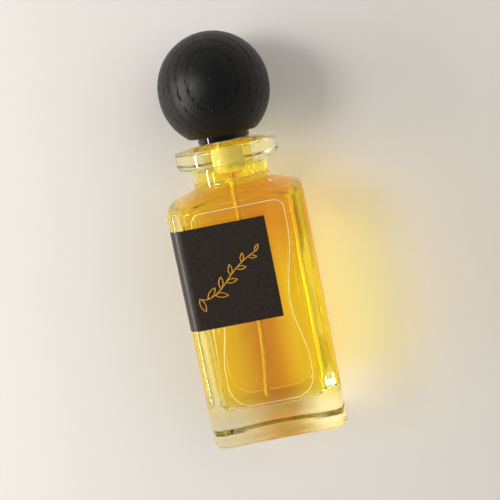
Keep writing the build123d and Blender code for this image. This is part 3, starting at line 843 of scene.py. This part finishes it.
tree = glass.node_tree
spot = add(tree, "ShaderNodeSeparateXYZ", {0: add(tree, "ShaderNodeTexCoord").outputs["Object"]})
half = WIDTH / 2 * MM
across = ranged(tree, spot.outputs[0], -half, half)
painted_glow_colour = WHITE
# each zone blends in its painted glow: colour that stands in for light through the perfume
for start, full, stops in PAINTED_GLOW_TONES:
    zone = ranged(tree, spot.outputs[2], start * MM, full * MM)
    painted_glow_colour = blended(tree, zone, painted_glow_colour, colour_along(tree, across, stops))
tree.links.new(painted_glow_colour, glass_body.inputs["Base Color"])
print("glass has", len(PAINTED_GLOW_TONES), "zones of colour")

# %% [markdown]
# The bottle's shadow is golden for the same reason, but only where there is perfume inside the glass:
# between the floor of the hollow and the flange.

# %% Cast of the shadow
over_floor = ranged(tree, spot.outputs[2], 9.5 * MM, 13.5 * MM)
under_rim = ranged(tree, spot.outputs[2], 94.5 * MM, 92.5 * MM)
beside_perfume = maths(tree, "MINIMUM", over_floor, under_rim)
cast = blended(tree, beside_perfume, (0.97, 0.96, 0.93, 1.0), (1.0, 0.97, 0.45, 1.0))
passed = glass_straight.inputs["Color"].links[0].from_socket
tree.links.new(blended(tree, 1.0, cast, passed, "MULTIPLY"), glass_straight.inputs["Color"])

# %% Perfume
PERFUME_IOR = 1.36
perfume_finish = clear_body("amber_perfume", PERFUME_IOR, 40.0, 0.0, WHITE, (0.975, 0.875, 0.0, 1.0), 105.0)[0]
neck_finish = clear_body("thin_perfume", PERFUME_IOR, 40.0, 0.0, WHITE, (0.995, 0.9, 0.0, 1.0), 130.0)[0]
wet_neck.data.materials.append(neck_finish)
glass_bottle.data.materials.append(glass)
liquid.data.materials.append(perfume_finish)
print("glass and perfume have their finish")

# %% [markdown]
# ## Label
#
# The label is one strip of dark uncoated paper. It starts on the front, right of the middle, turns round
# the left corner and ends on the narrow side. The mesh follows the block's outline at the paper's distance,
# with soft edges, so it has a real thickness that catches light.

# %% Label paper
label_low, label_high = box_mm("front_label")
LABEL_END = label_high[0]
LABEL_SIDE_END = -1.8
PAPER_IN, PAPER_OUT = 0.03, 0.18
EDGE, NEAR_EDGE = 0.06, 0.3  # distances from the paper's edge of the rows that keep it crisp


def label_path(distance):
    """Points and normals of the strip's path from its right end round the corner."""
    half_w, half_d = WIDTH / 2 + distance, DEPTH / 2 + distance
    corner = CORNER + distance
    points = [(LABEL_END - EDGE, -half_d, 0.0, -1.0)]
    start = LABEL_END - NEAR_EDGE
    stop = -(half_w - corner)
    points += [(start + (stop - start) * k / 20, -half_d, 0.0, -1.0) for k in range(20)]
    for k in range(13):
        angle = pi / 2 * k / 12
        nx, ny = -sin(angle), -cos(angle)
        points.append((stop + corner * nx, -(half_d - corner) + corner * ny, nx, ny))
    start = -(half_d - corner)
    run = LABEL_SIDE_END - NEAR_EDGE - start
    points += [(-half_w, start + run * k / 8, -1.0, 0.0) for k in range(1, 9)]
    points.append((-half_w, LABEL_SIDE_END - EDGE, -1.0, 0.0))
    return points


rise = label_high[2] - label_low[2] - 2 * NEAR_EDGE
heights = [label_low[2] + EDGE, label_low[2] + NEAR_EDGE]
heights += [label_low[2] + NEAR_EDGE + rise * k / 10 for k in range(1, 10)]
heights += [label_high[2] - NEAR_EDGE, label_high[2] - EDGE]
inner_path, outer_path = label_path(PAPER_IN), label_path(PAPER_OUT)
columns, rows = len(outer_path), len(heights)
print("label:", columns, "points along and", rows, "up")


# %% Label mesh
def border(point, inner, k, row):
    """The point of the strip's edge half way through its thickness, moved out to its true end."""
    x, y = (point[0] + inner[0]) / 2, (point[1] + inner[1]) / 2
    x = LABEL_END if k == 0 else x
    y = LABEL_SIDE_END if k == columns - 1 else y
    z = {0: label_low[2], rows - 1: label_high[2]}.get(row, heights[row])
    return x, y, z


vertices = [(x, y, z) for z in heights for x, y, _, _ in outer_path]
vertices += [(x, y, z) for z in heights for x, y, _, _ in inner_path]
faces = []
for row in range(rows - 1):
    for k in range(columns - 1):
        a = row * columns + k
        faces.append((a, a + columns, a + columns + 1, a + 1))
        b = a + rows * columns
        faces.append((b, b + 1, b + columns + 1, b + columns))
loop = [(0, k) for k in range(columns)] + [(row, columns - 1) for row in range(1, rows)]
loop += [(rows - 1, k) for k in range(columns - 2, -1, -1)] + [(row, 0) for row in range(rows - 2, 0, -1)]
edge_start = len(vertices)
vertices += [border(outer_path[k], inner_path[k], k, row) for row, k in loop]
for i, (row, k) in enumerate(loop):
    next_row, next_k = loop[(i + 1) % len(loop)]
    a, b = row * columns + k, next_row * columns + next_k
    e, f = edge_start + i, edge_start + (i + 1) % len(loop)
    faces += [(a, b, f, e), (e, f, b + rows * columns, a + rows * columns)]
label = make_piece("label_paper", vertices, faces, sharp=50.0)

# %% [markdown]
# Uncoated paper shows its fibres: pale flecks on a warm, nearly black brown, and a surface that is rough
# but not dead, so the rounded corner still carries a soft grey sheen.

# %% Label finish
paper_finish, tree, output = new_material("label_paper")
where = add(tree, "ShaderNodeTexCoord").outputs["Object"]
felt = add(tree, "ShaderNodeTexNoise", {"Vector": where, "Scale": 900.0, "Detail": 4.0, "Roughness": 0.7})
fleck = add(tree, "ShaderNodeTexNoise", {"Vector": where, "Scale": 2600.0, "Detail": 2.0})
fleck_mask = ranged(tree, fleck.outputs["Fac"], 0.52, 0.72)
base = blended(tree, felt.outputs["Fac"], colour(26, 20, 15), colour(42, 33, 26))
flecked = blended(tree, fleck_mask, base, colour(70, 58, 46))
bumps = {"Height": fleck.outputs["Fac"], "Strength": 0.35, "Distance": 0.06 * MM}
relief = add(tree, "ShaderNodeBump", bumps)
looks = {"Base Color": flecked, "Roughness": 0.36, "Specular IOR Level": 0.45}
surface = add(tree, "ShaderNodeBsdfPrincipled", looks)
tree.links.new(relief.outputs[0], surface.inputs["Normal"])
tree.links.new(surface.outputs[0], output.inputs["Surface"])
label.data.materials.append(paper_finish)
label.visible_shadow = False  # the perfume beside the label stays bright
print("label", round(LABEL_END - label_low[0], 1), "mm across the front")

# %% [markdown]
# ## Gold ornament
#
# A thin gold twig is stamped on the label. The stem follows a path and its leaves repeat along it, which is
# a job for Geometry Nodes: the tree takes a curve, sets a leaf outline at every step, alternating left and
# right, turns all lines into flat ribbons and gives them their finish.

# %% Gold foil
gold, tree, output = new_material("gold_foil")
where = add(tree, "ShaderNodeTexCoord").outputs["Object"]
tone = mottled(tree, where, colour(246, 186, 66), colour(222, 150, 40), 0.32, 0.5, 1500.0)
looks = {"Base Color": tone.outputs["Colour"], "Roughness": tone.outputs["Roughness"], "Metallic": 0.55}
surface = add(tree, "ShaderNodeBsdfPrincipled", looks)
tree.links.new(surface.outputs[0], output.inputs["Surface"])
print("gold foil:", len(tree.nodes), "nodes")


# %% Geometry Nodes helpers
def new_tree(name, inputs):
    """A Geometry Nodes tree with named inputs; returns the tree, its input node and its output node."""
    tree = bpy.data.node_groups.new(name, "GeometryNodeTree")
    tree.interface.new_socket(name="Geometry", in_out="INPUT", socket_type="NodeSocketGeometry")
    for label_, kind, value in inputs:
        socket = tree.interface.new_socket(name=label_, in_out="INPUT", socket_type=kind)
        if value is not None:
            socket.default_value = value
    tree.interface.new_socket(name="Geometry", in_out="OUTPUT", socket_type="NodeSocketGeometry")
    return tree, tree.nodes.new("NodeGroupInput"), tree.nodes.new("NodeGroupOutput")


def end_tree(tree, given, result, geometry):
    """Finish a tree with real geometry, smooth shading and the finish it was given."""
    real = add(tree, "GeometryNodeRealizeInstances", {"Geometry": geometry})
    smooth = add(tree, "GeometryNodeSetShadeSmooth", {"Geometry": real.outputs[0]})
    paint = {"Geometry": smooth.outputs[0], "Material": given.outputs["Material"]}
    painted = add(tree, "GeometryNodeSetMaterial", paint)
    tree.links.new(painted.outputs[0], result.inputs["Geometry"])


def grow(name, tree, values, start=None):
    """Run a tree on a start object and keep its result as a plain mesh."""
    if start is None:
        start = bpy.data.objects.new(name + "_start", bpy.data.meshes.new(name + "_start"))
        scene.collection.objects.link(start)
    modifier = start.modifiers.new("grow", "NODES")
    modifier.node_group = tree
    for item in tree.interface.items_tree:
        if item.in_out == "INPUT" and item.name in values:
            modifier[item.identifier] = values[item.name]
    seen = start.evaluated_get(bpy.context.evaluated_depsgraph_get())
    mesh = bpy.data.meshes.new_from_object(seen)
    mesh.name = name
    piece = bpy.data.objects.new(name, mesh)
    scene.collection.objects.link(piece)
    bpy.data.objects.remove(start)
    print(f"{name}: {len(mesh.polygons)} faces")
    return piece


def sweep(tree, line, radius, sides, capped):
    """A round of that radius, swept along a line."""
    circle_of = {"Resolution": sides, "Radius": radius}
    profile = add(tree, "GeometryNodeCurvePrimitiveCircle", circle_of, mode="RADIUS")
    path = {"Curve": line, "Profile Curve": profile.outputs[0], "Fill Caps": capped}
    return add(tree, "GeometryNodeCurveToMesh", path).outputs[0]


# %% Twig tree
twig_tree, given, result = new_tree(
    "twig",
    (
        ("Leaf Length", "NodeSocketFloat", 4.2 * MM),
        ("Leaf Width", "NodeSocketFloat", 1.5 * MM),
        ("Leaf Step", "NodeSocketFloat", 2.5 * MM),
        ("Line Width", "NodeSocketFloat", 0.34 * MM),
        ("Foil Rise", "NodeSocketFloat", 0.12),
        ("Material", "NodeSocketMaterial", None),
    ),
)
t = twig_tree


def leaf_side(sign):
    """One bowed side of a leaf, from its stalk to its tip."""
    belly = maths(t, "MULTIPLY", given.outputs["Leaf Length"], 0.45)
    swell = maths(t, "MULTIPLY", given.outputs["Leaf Width"], sign)
    bow = add(t, "ShaderNodeCombineXYZ", {0: belly, 2: swell}).outputs[0]
    tip = add(t, "ShaderNodeCombineXYZ", {0: given.outputs["Leaf Length"]}).outputs[0]
    bend = {"Resolution": 10, "Start": (0, 0, 0), "Middle": bow, "End": tip}
    return add(t, "GeometryNodeCurveQuadraticBezier", bend).outputs[0]


both_sides = add(t, "GeometryNodeJoinGeometry")
t.links.new(leaf_side(1.0), both_sides.inputs[0])
t.links.new(leaf_side(-1.0), both_sides.inputs[0])
stepping = {"Curve": given.outputs["Geometry"], "Length": given.outputs["Leaf Step"]}
steps = add(t, "GeometryNodeCurveToPoints", stepping, mode="LENGTH")
tangent = add(t, "ShaderNodeSeparateXYZ", {0: steps.outputs["Tangent"]})
along = maths(t, "ARCTAN2", tangent.outputs[2], tangent.outputs[0])
parity = maths(t, "MODULO", add(t, "GeometryNodeInputIndex").outputs[0], 2.0)
swing = maths(t, "MULTIPLY_ADD", parity, 1.45)
swing.node.inputs[2].default_value = -0.72
lean = maths(t, "MULTIPLY", maths(t, "ADD", along, swing), -1.0)
turn = add(t, "ShaderNodeCombineXYZ", {1: lean})
rotation = add(t, "FunctionNodeEulerToRotation", {0: turn.outputs[0]})
shrink = maths(t, "MULTIPLY_ADD", add(t, "GeometryNodeInputIndex").outputs[0], -0.055)
shrink.node.inputs[2].default_value = 1.12
set_out = {"Points": steps.outputs[0], "Instance": both_sides.outputs[0], "Scale": shrink}
leaves = add(t, "GeometryNodeInstanceOnPoints", set_out)
t.links.new(rotation.outputs[0], leaves.inputs["Rotation"])
real_leaves = add(t, "GeometryNodeRealizeInstances", {"Geometry": leaves.outputs[0]})
lines = add(t, "GeometryNodeJoinGeometry")
t.links.new(given.outputs["Geometry"], lines.inputs[0])
t.links.new(real_leaves.outputs[0], lines.inputs[0])
pen = maths(t, "MULTIPLY", given.outputs["Line Width"], 0.5)
ribbons = sweep(t, lines.outputs[0], pen, 8, True)
apart = add(t, "ShaderNodeSeparateXYZ", {0: add(t, "GeometryNodeInputPosition").outputs[0]})
thinned = maths(t, "MULTIPLY", apart.outputs[1], given.outputs["Foil Rise"])
flat = add(t, "ShaderNodeCombineXYZ", {0: apart.outputs[0], 1: thinned, 2: apart.outputs[2]})
pressed = add(t, "GeometryNodeSetPosition", {"Geometry": ribbons, "Position": flat.outputs[0]})
onto_label = {"Geometry": pressed.outputs[0], "Translation": (0.0, -(DEPTH / 2 + PAPER_OUT) * MM, 0.0)}
end_tree(t, given, result, add(t, "GeometryNodeTransform", onto_label).outputs[0])
print("twig tree:", len(t.nodes), "nodes")

# %% Twig on the label
stem_curve = bpy.data.curves.new("twig_start", "CURVE")
stem_curve.dimensions = "3D"
stem_curve.resolution_u = 16
stem = stem_curve.splines.new("BEZIER")
stem_points = (((-17.2, 52.6), (-14.0, 50.4)), ((-6.6, 57.6), (-3.4, 61.0)), ((3.4, 64.6), (6.0, 65.4)))
stem.bezier_points.add(len(stem_points) - 1)
for point, ((x, z), (hx, hz)) in zip(stem.bezier_points, stem_points):
    point.co = Vector((x, 0.0, z)) * MM
    point.handle_right = Vector((hx, 0.0, hz)) * MM
    point.handle_left = point.co * 2 - point.handle_right
twig_start = bpy.data.objects.new("twig_start", stem_curve)
scene.collection.objects.link(twig_start)
twig = grow("label_twig", twig_tree, {"Material": gold}, twig_start)

# %% [markdown]
# ## Pump parts behind the glass
#
# The housing is one translucent moulding: barrel, tapered foot and a spigot that holds the dip tube. It
# shows through the flange and the neck, so it gets its real steps with small moulded radii.

# %% Pump housing
housing_low, housing_high = box_mm("pump_housing")
HOUSING = 3.95
SPIGOT_END = housing_low[2]
housing = turned(
    "housing_moulding",
    rounded_section(
        [
            (0.93, SPIGOT_END, 0.1),
            (1.85, SPIGOT_END, 0.2),
            (1.85, SPIGOT_END + 3.6, 0.4),
            (HOUSING, SPIGOT_END + 5.6, 0.8),
            (HOUSING, 107.824, 0.2),
            (6.9, 107.824, 0.15),
            (6.9, 108.924, 0.15),
            (4.3, 108.924, 0.1),
            (4.3, housing_high[2], 0.15),
            (3.0, housing_high[2], 0.15),
            (3.0, 93.424, 0.15),
            (1.25, 93.424, 0.1),
            (1.25, 91.774, 0.2),
            (0.5, 91.024, 0.1),
            (0.5, 90.024, 0.05),
            (0.93, 90.024, 0.05),
        ],
        steps=4,
        closed=True,
    ),
    closed=True,
)
housing.data.materials.append(natural)

# %% [markdown]
# The dip tube follows a path: straight down from the spigot, then a gentle lean to the left. The tree
# sweeps a circle along that path. The foot is cut at an angle, so it can't seal against the floor, and
# Solidify gives the wall its thickness towards the bore.

# %% Dip tube tree
tube_tree, given, result = new_tree(
    "swept_tube",
    (
        ("Radius", "NodeSocketFloat", 0.9 * MM),
        ("Sides", "NodeSocketInt", 32),
        ("Closed Ends", "NodeSocketBool", False),
        ("Material", "NodeSocketMaterial", None),
    ),
)
taken = [given.outputs[key] for key in ("Geometry", "Radius", "Sides", "Closed Ends")]
end_tree(tube_tree, given, result, sweep(tube_tree, *taken))
print("tube tree:", len(tube_tree.nodes), "nodes")

# %% Dip tube path
tube_low, tube_high = box_mm("dip_tube")
TUBE, TUBE_WALL, TUBE_LEAN = 0.9, 0.3, 2.8
TUBE_BEND, TUBE_FOOT = 47.18, 12.15
path = bpy.data.curves.new("tube_start", "CURVE")
path.dimensions = "3D"
path.resolution_u = 32
spline = path.splines.new("BEZIER")
spline.bezier_points.add(2)
drop = TUBE_BEND - TUBE_FOOT
for point, (x, z), (bx, bz), (ax, az) in zip(
    spline.bezier_points,
    ((0, tube_high[2]), (0, TUBE_BEND), (-TUBE_LEAN, TUBE_FOOT)),
    ((0, tube_high[2] + 1), (0, TUBE_BEND + 9), (-TUBE_LEAN * 0.34, TUBE_FOOT + drop * 0.34)),
    ((0, tube_high[2] - 9), (0, TUBE_BEND - drop * 0.34), (-TUBE_LEAN * 1.1, TUBE_FOOT - 1)),
):
    point.co = Vector((x, 0, z)) * MM
    point.handle_left = Vector((bx, 0, bz)) * MM
    point.handle_right = Vector((ax, 0, az)) * MM
tube_start = bpy.data.objects.new("tube_start", path)
scene.collection.objects.link(tube_start)
tube = grow("tube_dip", tube_tree, {"Material": tube_plastic}, tube_start)
cutter = bmesh.new()
cutter.from_mesh(tube.data)
FOOT_CUT = radians(40)
cut_at = Vector((-TUBE_LEAN, 0, TUBE_FOOT + TUBE * tan(FOOT_CUT))) * MM
bmesh.ops.bisect_plane(
    cutter,
    geom=cutter.verts[:] + cutter.edges[:] + cutter.faces[:],
    plane_co=cut_at,
    plane_no=(sin(FOOT_CUT), 0, cos(FOOT_CUT)),
    clear_inner=True,
)
cutter.to_mesh(tube.data)
cutter.free()
wall = tube.modifiers.new("wall", "SOLIDIFY")
wall.thickness = TUBE_WALL * MM
wall.offset = -1.0
print("tube from", round(tube_high[2], 2), "to", round(tube_low[2], 2))

# %% [markdown]
# A hair-thin round runs round each flat of the hollow. Its near-white finish is a painted highlight: it
# draws the bright hourglass of light reflected inside the glass. The line follows a path, so the same tree
# sweeps the round along it, front and back.

# %% Painted highlight lines
# a near-white finish that paints the highlight of the hourglass line
highlight_line_finish = finish_material(
    "painted_highlight_line", colour(255, 255, 252), colour(246, 246, 240), 0.05, 0.12, 500, 0.05,
    Transmission_Weight=0.2, IOR=1.45
)
LINE_FOOT, LINE_TOP = 12.75, 79.5
LINE_BOW = 3.4  # radius of the line's upper corners


def line_half(height):
    """Half width of the line: the flat's, rounded over at the top."""
    over = max(0.0, height - LINE_TOP + LINE_BOW)
    return flat_half(height) - LINE_BOW + sqrt(max(0.0, LINE_BOW**2 - over**2))


highlight_lines = []
line_look = {"Radius": 0.17 * MM, "Sides": 10, "Material": highlight_line_finish}
for side_name, side in (("front", -1), ("back", 1)):
    line = bpy.data.curves.new("line_start", "CURVE")
    line.dimensions = "3D"
    line_heights = [LINE_FOOT + (LINE_TOP - LINE_FOOT) * ease(k / 80) for k in range(81)]
    right = [(line_half(z), z) for z in line_heights]
    loop_points = right + [(-x, z) for x, z in right[::-1]]
    run = line.splines.new("POLY")
    run.points.add(len(loop_points) - 1)
    for point, (x, z) in zip(run.points, loop_points):
        point.co = (x * MM, side * (HOLLOW_DEPTH / 2 + 0.1) * MM, z * MM, 1.0)
    run.use_cyclic_u = True
    line_start = bpy.data.objects.new("line_start", line)
    scene.collection.objects.link(line_start)
    highlight_lines.append(grow("painted_highlight_line_" + side_name, tube_tree, line_look, line_start))

# %% [markdown]
# The return spring is a helix. A Spiral node draws it and the same sweep tree idea gives it its wire.

# %% Return spring
spring_low, spring_high = box_mm("return_spring")
WIRE = 0.2
spring_tree, given, result = new_tree(
    "coil",
    (
        ("Turns", "NodeSocketFloat", 6.5),
        ("Coil Radius", "NodeSocketFloat", 2.0 * MM),
        ("Wire Radius", "NodeSocketFloat", WIRE * MM),
        ("Height", "NodeSocketFloat", (spring_high[2] - spring_low[2] - 2 * WIRE) * MM),
        ("Foot", "NodeSocketVector", (0.0, 0.0, (spring_low[2] + WIRE) * MM)),
        ("Material", "NodeSocketMaterial", None),
    ),
)
helix = add(
    spring_tree,
    "GeometryNodeCurveSpiral",
    {
        "Resolution": 40,
        "Rotations": given.outputs["Turns"],
        "Start Radius": given.outputs["Coil Radius"],
        "End Radius": given.outputs["Coil Radius"],
        "Height": given.outputs["Height"],
    },
)
lifted = {"Geometry": helix.outputs[0], "Translation": given.outputs["Foot"]}
moved = add(spring_tree, "GeometryNodeTransform", lifted).outputs[0]
end_tree(spring_tree, given, result, sweep(spring_tree, moved, given.outputs["Wire Radius"], 12, True))
spring = grow("coil_spring", spring_tree, {"Material": spring_steel})

# %% [markdown]
# ## Collar
#
# A thin sleeve pressed from sheet and anodised glossy black. Its top turns in round the button and its open
# end stands a little above the glass.

# %% Collar
collar_low, collar_high = box_mm("collar_cover")
COLLAR = collar_high[0]
COLLAR_IN = COLLAR - 0.35
COLLAR_MOUTH = 6.45
collar = turned(
    "collar_sleeve",
    rounded_section(
        [
            (COLLAR_IN, collar_low[2], 0.1),
            (COLLAR, collar_low[2], 0.15),
            (COLLAR, collar_high[2], 0.5),
            (COLLAR_MOUTH, collar_high[2], 0.17),
            (COLLAR_MOUTH, collar_high[2] - 0.7, 0.17),
            (COLLAR_IN, collar_high[2] - 0.7, 0.2),
        ],
        closed=True,
    ),
    segments=128,
    closed=True,
)
collar.data.materials.append(black_gloss)

# %% [markdown]
# ## Ball cap
#
# The cap is a wooden ball, turned, stained black and left matt. Below it is flat, with a bore for the
# plastic liner that grips the collar. It is turned in one section: the flat, the ball and then down the
# bore.

# %% Ball
cap_low, cap_high = box_mm("ball_cap")
BALL = (cap_high[0] - cap_low[0]) / 2
BALL_TOP, BALL_FLAT = cap_high[2], cap_low[2]
BAND = 0.8
BALL_MIDDLE = BALL_TOP - BALL - BAND / 2
LINER = 9.75
LINER_HEAD = 7.8
LINER_STEP = 115.17
LINER_TOP = 123.924
GLUE = 0.03
FLAT_EDGE = 11.3
EDGE_TURN = radians(1.6)  # the ball starts this much above the flat, which leaves room for the rounded edge
edge_angle = -asin((BALL_MIDDLE - BAND / 2 - BALL_FLAT) / BALL) + EDGE_TURN
arc = []
for k in range(73):
    angle = edge_angle + (pi / 2 - edge_angle) * k / 72
    shift = BAND / 2 if angle >= 0 else -BAND / 2
    arc.append((BALL * cos(angle), BALL_MIDDLE + shift + BALL * sin(angle)))
arc[-1] = (0.0, BALL_TOP)
ball_section = rounded_section(
    [
        (0.0, LINER_TOP + GLUE, 0),
        (LINER_HEAD + GLUE, LINER_TOP + GLUE, 0.2),
        (LINER_HEAD + GLUE, LINER_STEP + GLUE, 0.1),
        (LINER + GLUE, LINER_STEP + GLUE, 0.2),
        (LINER + GLUE, BALL_FLAT, 0.3),
        (FLAT_EDGE, BALL_FLAT, 0.7),
        arc[0] + (0,),
    ]
)
ball = turned("wood_ball", ball_section + arc[1:], segments=160, sharp=50.0)
print("ball", round(2 * BALL, 2), "mm across, its middle at", round(BALL_MIDDLE, 2))

# %% [markdown]
# Black stain sinks into open-grained wood and leaves its figure as relief: the soft early wood of each
# yearly ring is full of pores that stay as short dark dashes along the grain, and the dense late wood
# between them is smoother. The rings are cylinders round an upright axis in front of the ball, so the
# ball's round face cuts them into nested upright ovals, as on any turned ball.

# %% Stained wood
PITH = (2.0, -52.0)
RING_WIDTH = 3.1
RING_RISE = 0.16

wood, tree, output = new_material("stained_wood")
where = add(tree, "ShaderNodeTexCoord").outputs["Object"]
level = Vector((-PITH[0], -PITH[1], -BALL_MIDDLE)) * MM
centred = add(tree, "ShaderNodeMapping", {"Vector": where, "Location": level})
waver = add(tree, "ShaderNodeTexNoise", {"Vector": where, "Scale": 90.0, "Detail": 2.0})
apart = add(tree, "ShaderNodeSeparateXYZ", {0: centred.outputs[0]})
reach = add(tree, "ShaderNodeCombineXYZ", {0: apart.outputs[0], 1: apart.outputs[1]})
radius = add(tree, "ShaderNodeVectorMath", {0: reach.outputs[0]}, operation="LENGTH").outputs["Value"]
tilt = maths(tree, "MULTIPLY", apart.outputs[2], -RING_RISE)
wander = maths(tree, "MULTIPLY", waver.outputs["Fac"], 1.6 * MM)
age = maths(tree, "ADD", maths(tree, "ADD", radius, tilt), wander)
ring_place = maths(tree, "FRACT", maths(tree, "DIVIDE", age, RING_WIDTH * MM), 0.0)
early = ranged(tree, ring_place, 0.5, 0.95)
early.node.interpolation_type = "SMOOTHSTEP"
early_wood = maths(tree, "MULTIPLY", early, ranged(tree, ring_place, 1.0, 0.97))
print("rings every", RING_WIDTH, "mm")

# %% Pores and stain
fibre_place = add(tree, "ShaderNodeMapping", {"Vector": where, "Scale": (1.0, 1.0, 0.09)})
pore_place = add(tree, "ShaderNodeMapping", {"Vector": where, "Scale": (1.0, 1.0, 0.26)})
pores = add(tree, "ShaderNodeTexNoise", {"Vector": pore_place.outputs[0], "Scale": 2100.0, "Detail": 0.5})
pore_mask = ranged(tree, pores.outputs["Fac"], 0.535, 0.6)
fibres = add(tree, "ShaderNodeTexNoise", {"Vector": fibre_place.outputs[0], "Scale": 5200.0, "Detail": 3.0})
few = maths(tree, "ADD", maths(tree, "MULTIPLY", early_wood, 0.95), 0.05)
pore = maths(tree, "MULTIPLY", pore_mask, few)
stain = blended(tree, fibres.outputs["Fac"], colour(8, 8, 8), colour(18, 18, 18))
ringed = blended(tree, early_wood, stain, colour(11, 11, 11))
dark_pores = blended(tree, pore, ringed, colour(3, 3, 3))
height = maths(tree, "SUBTRACT", maths(tree, "MULTIPLY", fibres.outputs["Fac"], 0.12), pore)
height = maths(tree, "SUBTRACT", height, maths(tree, "MULTIPLY", early_wood, 0.2))
relief = add(tree, "ShaderNodeBump", {"Height": height, "Strength": 1.0, "Distance": 0.24 * MM})
dullness = ranged(tree, pore, 0.0, 1.0, 0.41, 0.95)
looks = {"Base Color": dark_pores, "Roughness": dullness, "Specular IOR Level": 0.3}
surface = add(tree, "ShaderNodeBsdfPrincipled", looks)
tree.links.new(relief.outputs[0], surface.inputs["Normal"])
tree.links.new(surface.outputs[0], output.inputs["Surface"])
ball.data.materials.append(wood)
print("stained wood:", len(tree.nodes), "nodes")

# %% [markdown]
# The liner is a stepped plastic thimble glued into the ball. Eight ribs on its wall grip the collar. Ribs
# repeat round a circle, so a tree makes them and joins them to the turned thimble.

# %% Liner
liner_low, liner_high = box_mm("cap_liner")
LINER_IN = 8.95  # inner radius of the skirt, which the ribs stand on
liner_start = turned(
    "liner_start",
    rounded_section(
        [
            (0.0, liner_high[2] - 0.8, 0),
            (7.0, liner_high[2] - 0.8, 0.4),
            (7.0, 114.374, 0.2),
            (LINER_IN, 114.374, 0.3),
            (LINER_IN, liner_low[2], 0.3),
            (LINER, liner_low[2], 0.2),
            (LINER, LINER_STEP, 0.3),
            (LINER_HEAD, LINER_STEP, 0.2),
            (LINER_HEAD, liner_high[2], 0.4),
            (0.0, liner_high[2], 0),
        ],
        steps=4,
    ),
    segments=128,
)

# %% Ribs
rib_tree, given, result = new_tree(
    "ribbed_thimble",
    (
        ("Rib Count", "NodeSocketInt", 8),
        ("Rib Width", "NodeSocketFloat", 0.8 * MM),
        ("Rib Depth", "NodeSocketFloat", 0.5 * MM),
        ("Rib Height", "NodeSocketFloat", 9.5 * MM),
        ("Rib Radius", "NodeSocketFloat", LINER_IN * MM),
        ("Rib Middle", "NodeSocketFloat", 108.9 * MM),
        ("Material", "NodeSocketMaterial", None),
    ),
)
t = rib_tree
places = {"Vertices": given.outputs["Rib Count"], "Radius": given.outputs["Rib Radius"]}
spots = add(t, "GeometryNodeMeshCircle", places)
sides = {k: given.outputs["Rib " + side] for k, side in enumerate(("Depth", "Width", "Height"))}
rib_size = add(t, "ShaderNodeCombineXYZ", sides).outputs[0]
block_of = {"Size": rib_size, "Vertices X": 3, "Vertices Y": 3, "Vertices Z": 6}
rib = add(t, "GeometryNodeMeshCube", block_of)
index = add(t, "GeometryNodeInputIndex").outputs[0]
angle = maths(t, "MULTIPLY", maths(t, "DIVIDE", index, given.outputs["Rib Count"]), 2 * pi)
turn = add(t, "ShaderNodeCombineXYZ", {2: angle})
rotation = add(t, "FunctionNodeEulerToRotation", {0: turn.outputs[0]})
ribs = add(
    t,
    "GeometryNodeInstanceOnPoints",
    {"Points": spots.outputs[0], "Instance": rib.outputs[0], "Rotation": rotation.outputs[0]},
)
lift = add(t, "ShaderNodeCombineXYZ", {2: given.outputs["Rib Middle"]})
raised = add(t, "GeometryNodeTransform", {"Geometry": ribs.outputs[0], "Translation": lift.outputs[0]})
whole = add(t, "GeometryNodeJoinGeometry")
t.links.new(given.outputs["Geometry"], whole.inputs[0])
t.links.new(raised.outputs[0], whole.inputs[0])
end_tree(t, given, result, whole.outputs[0])
liner = grow("ribbed_liner", rib_tree, {"Material": liner_plastic}, liner_start)
liner.data.set_sharp_from_angle(angle=radians(40))

# %% [markdown]
# ## Finishes of the CAD pieces
#
# The small pump parts are right as the CAD made them: they stay and get their real finishes.

# %% CAD pieces
CAD_FINISHES = {
    "neck_gasket": grey_rubber,
    "crimp_ferrule": bare_metal,
    "collar_ring": black_plastic,
    "stem_guide": white_plastic,
    "stem_gasket": grey_rubber,
    "pump_stem": white_plastic,
    "piston": liner_plastic,
    "check_ball": spring_steel,
    "actuator_core": black_plastic,
    "actuator_shell": black_gloss,
    "nozzle_insert": black_plastic,
}
for node, finish in CAD_FINISHES.items():
    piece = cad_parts[node]
    if not piece.data.materials:
        piece.data.materials.append(finish)
    for k in range(len(piece.material_slots)):
        piece.material_slots[k].material = finish
print(len(CAD_FINISHES), "CAD pieces finished")

# %% [markdown]
# ## Joining the pieces to the frame
#
# Each piece in the list stands for a CAD node, which is hidden, and rides on that node's body, the bottle or
# the cap, so it moves with it. The other pieces made here ride on the bottle. The spring gets a mesh of its
# own.

# %% Riding and replacing
PIECES = (
    (glass_bottle, "bottle", "glass_bottle", "clear_glass"),
    (liquid, "bottle", "perfume_liquid", "amber_perfume"),
    (label, "bottle", "front_label", "dark_label_paper"),
    (housing, "bottle", "pump_housing", "natural_plastic"),
    (tube, "bottle", "dip_tube", "natural_plastic"),
    (spring, "bottle", "return_spring", "spring_steel"),
    (collar, "bottle", "collar_cover", "black_anodised"),
    (ball, "cap", "ball_cap", "black_stained_wood"),
    (liner, "cap", "cap_liner", "natural_plastic"),
)
for piece, body, node, slot in PIECES:
    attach(piece, body)
    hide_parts(node)
for line in highlight_lines:
    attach(line, "bottle")
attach(wet_neck, "bottle")
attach(twig, "bottle")
print(len(PIECES) + len(highlight_lines) + 2, "pieces ride on the frame")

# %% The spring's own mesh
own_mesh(spring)
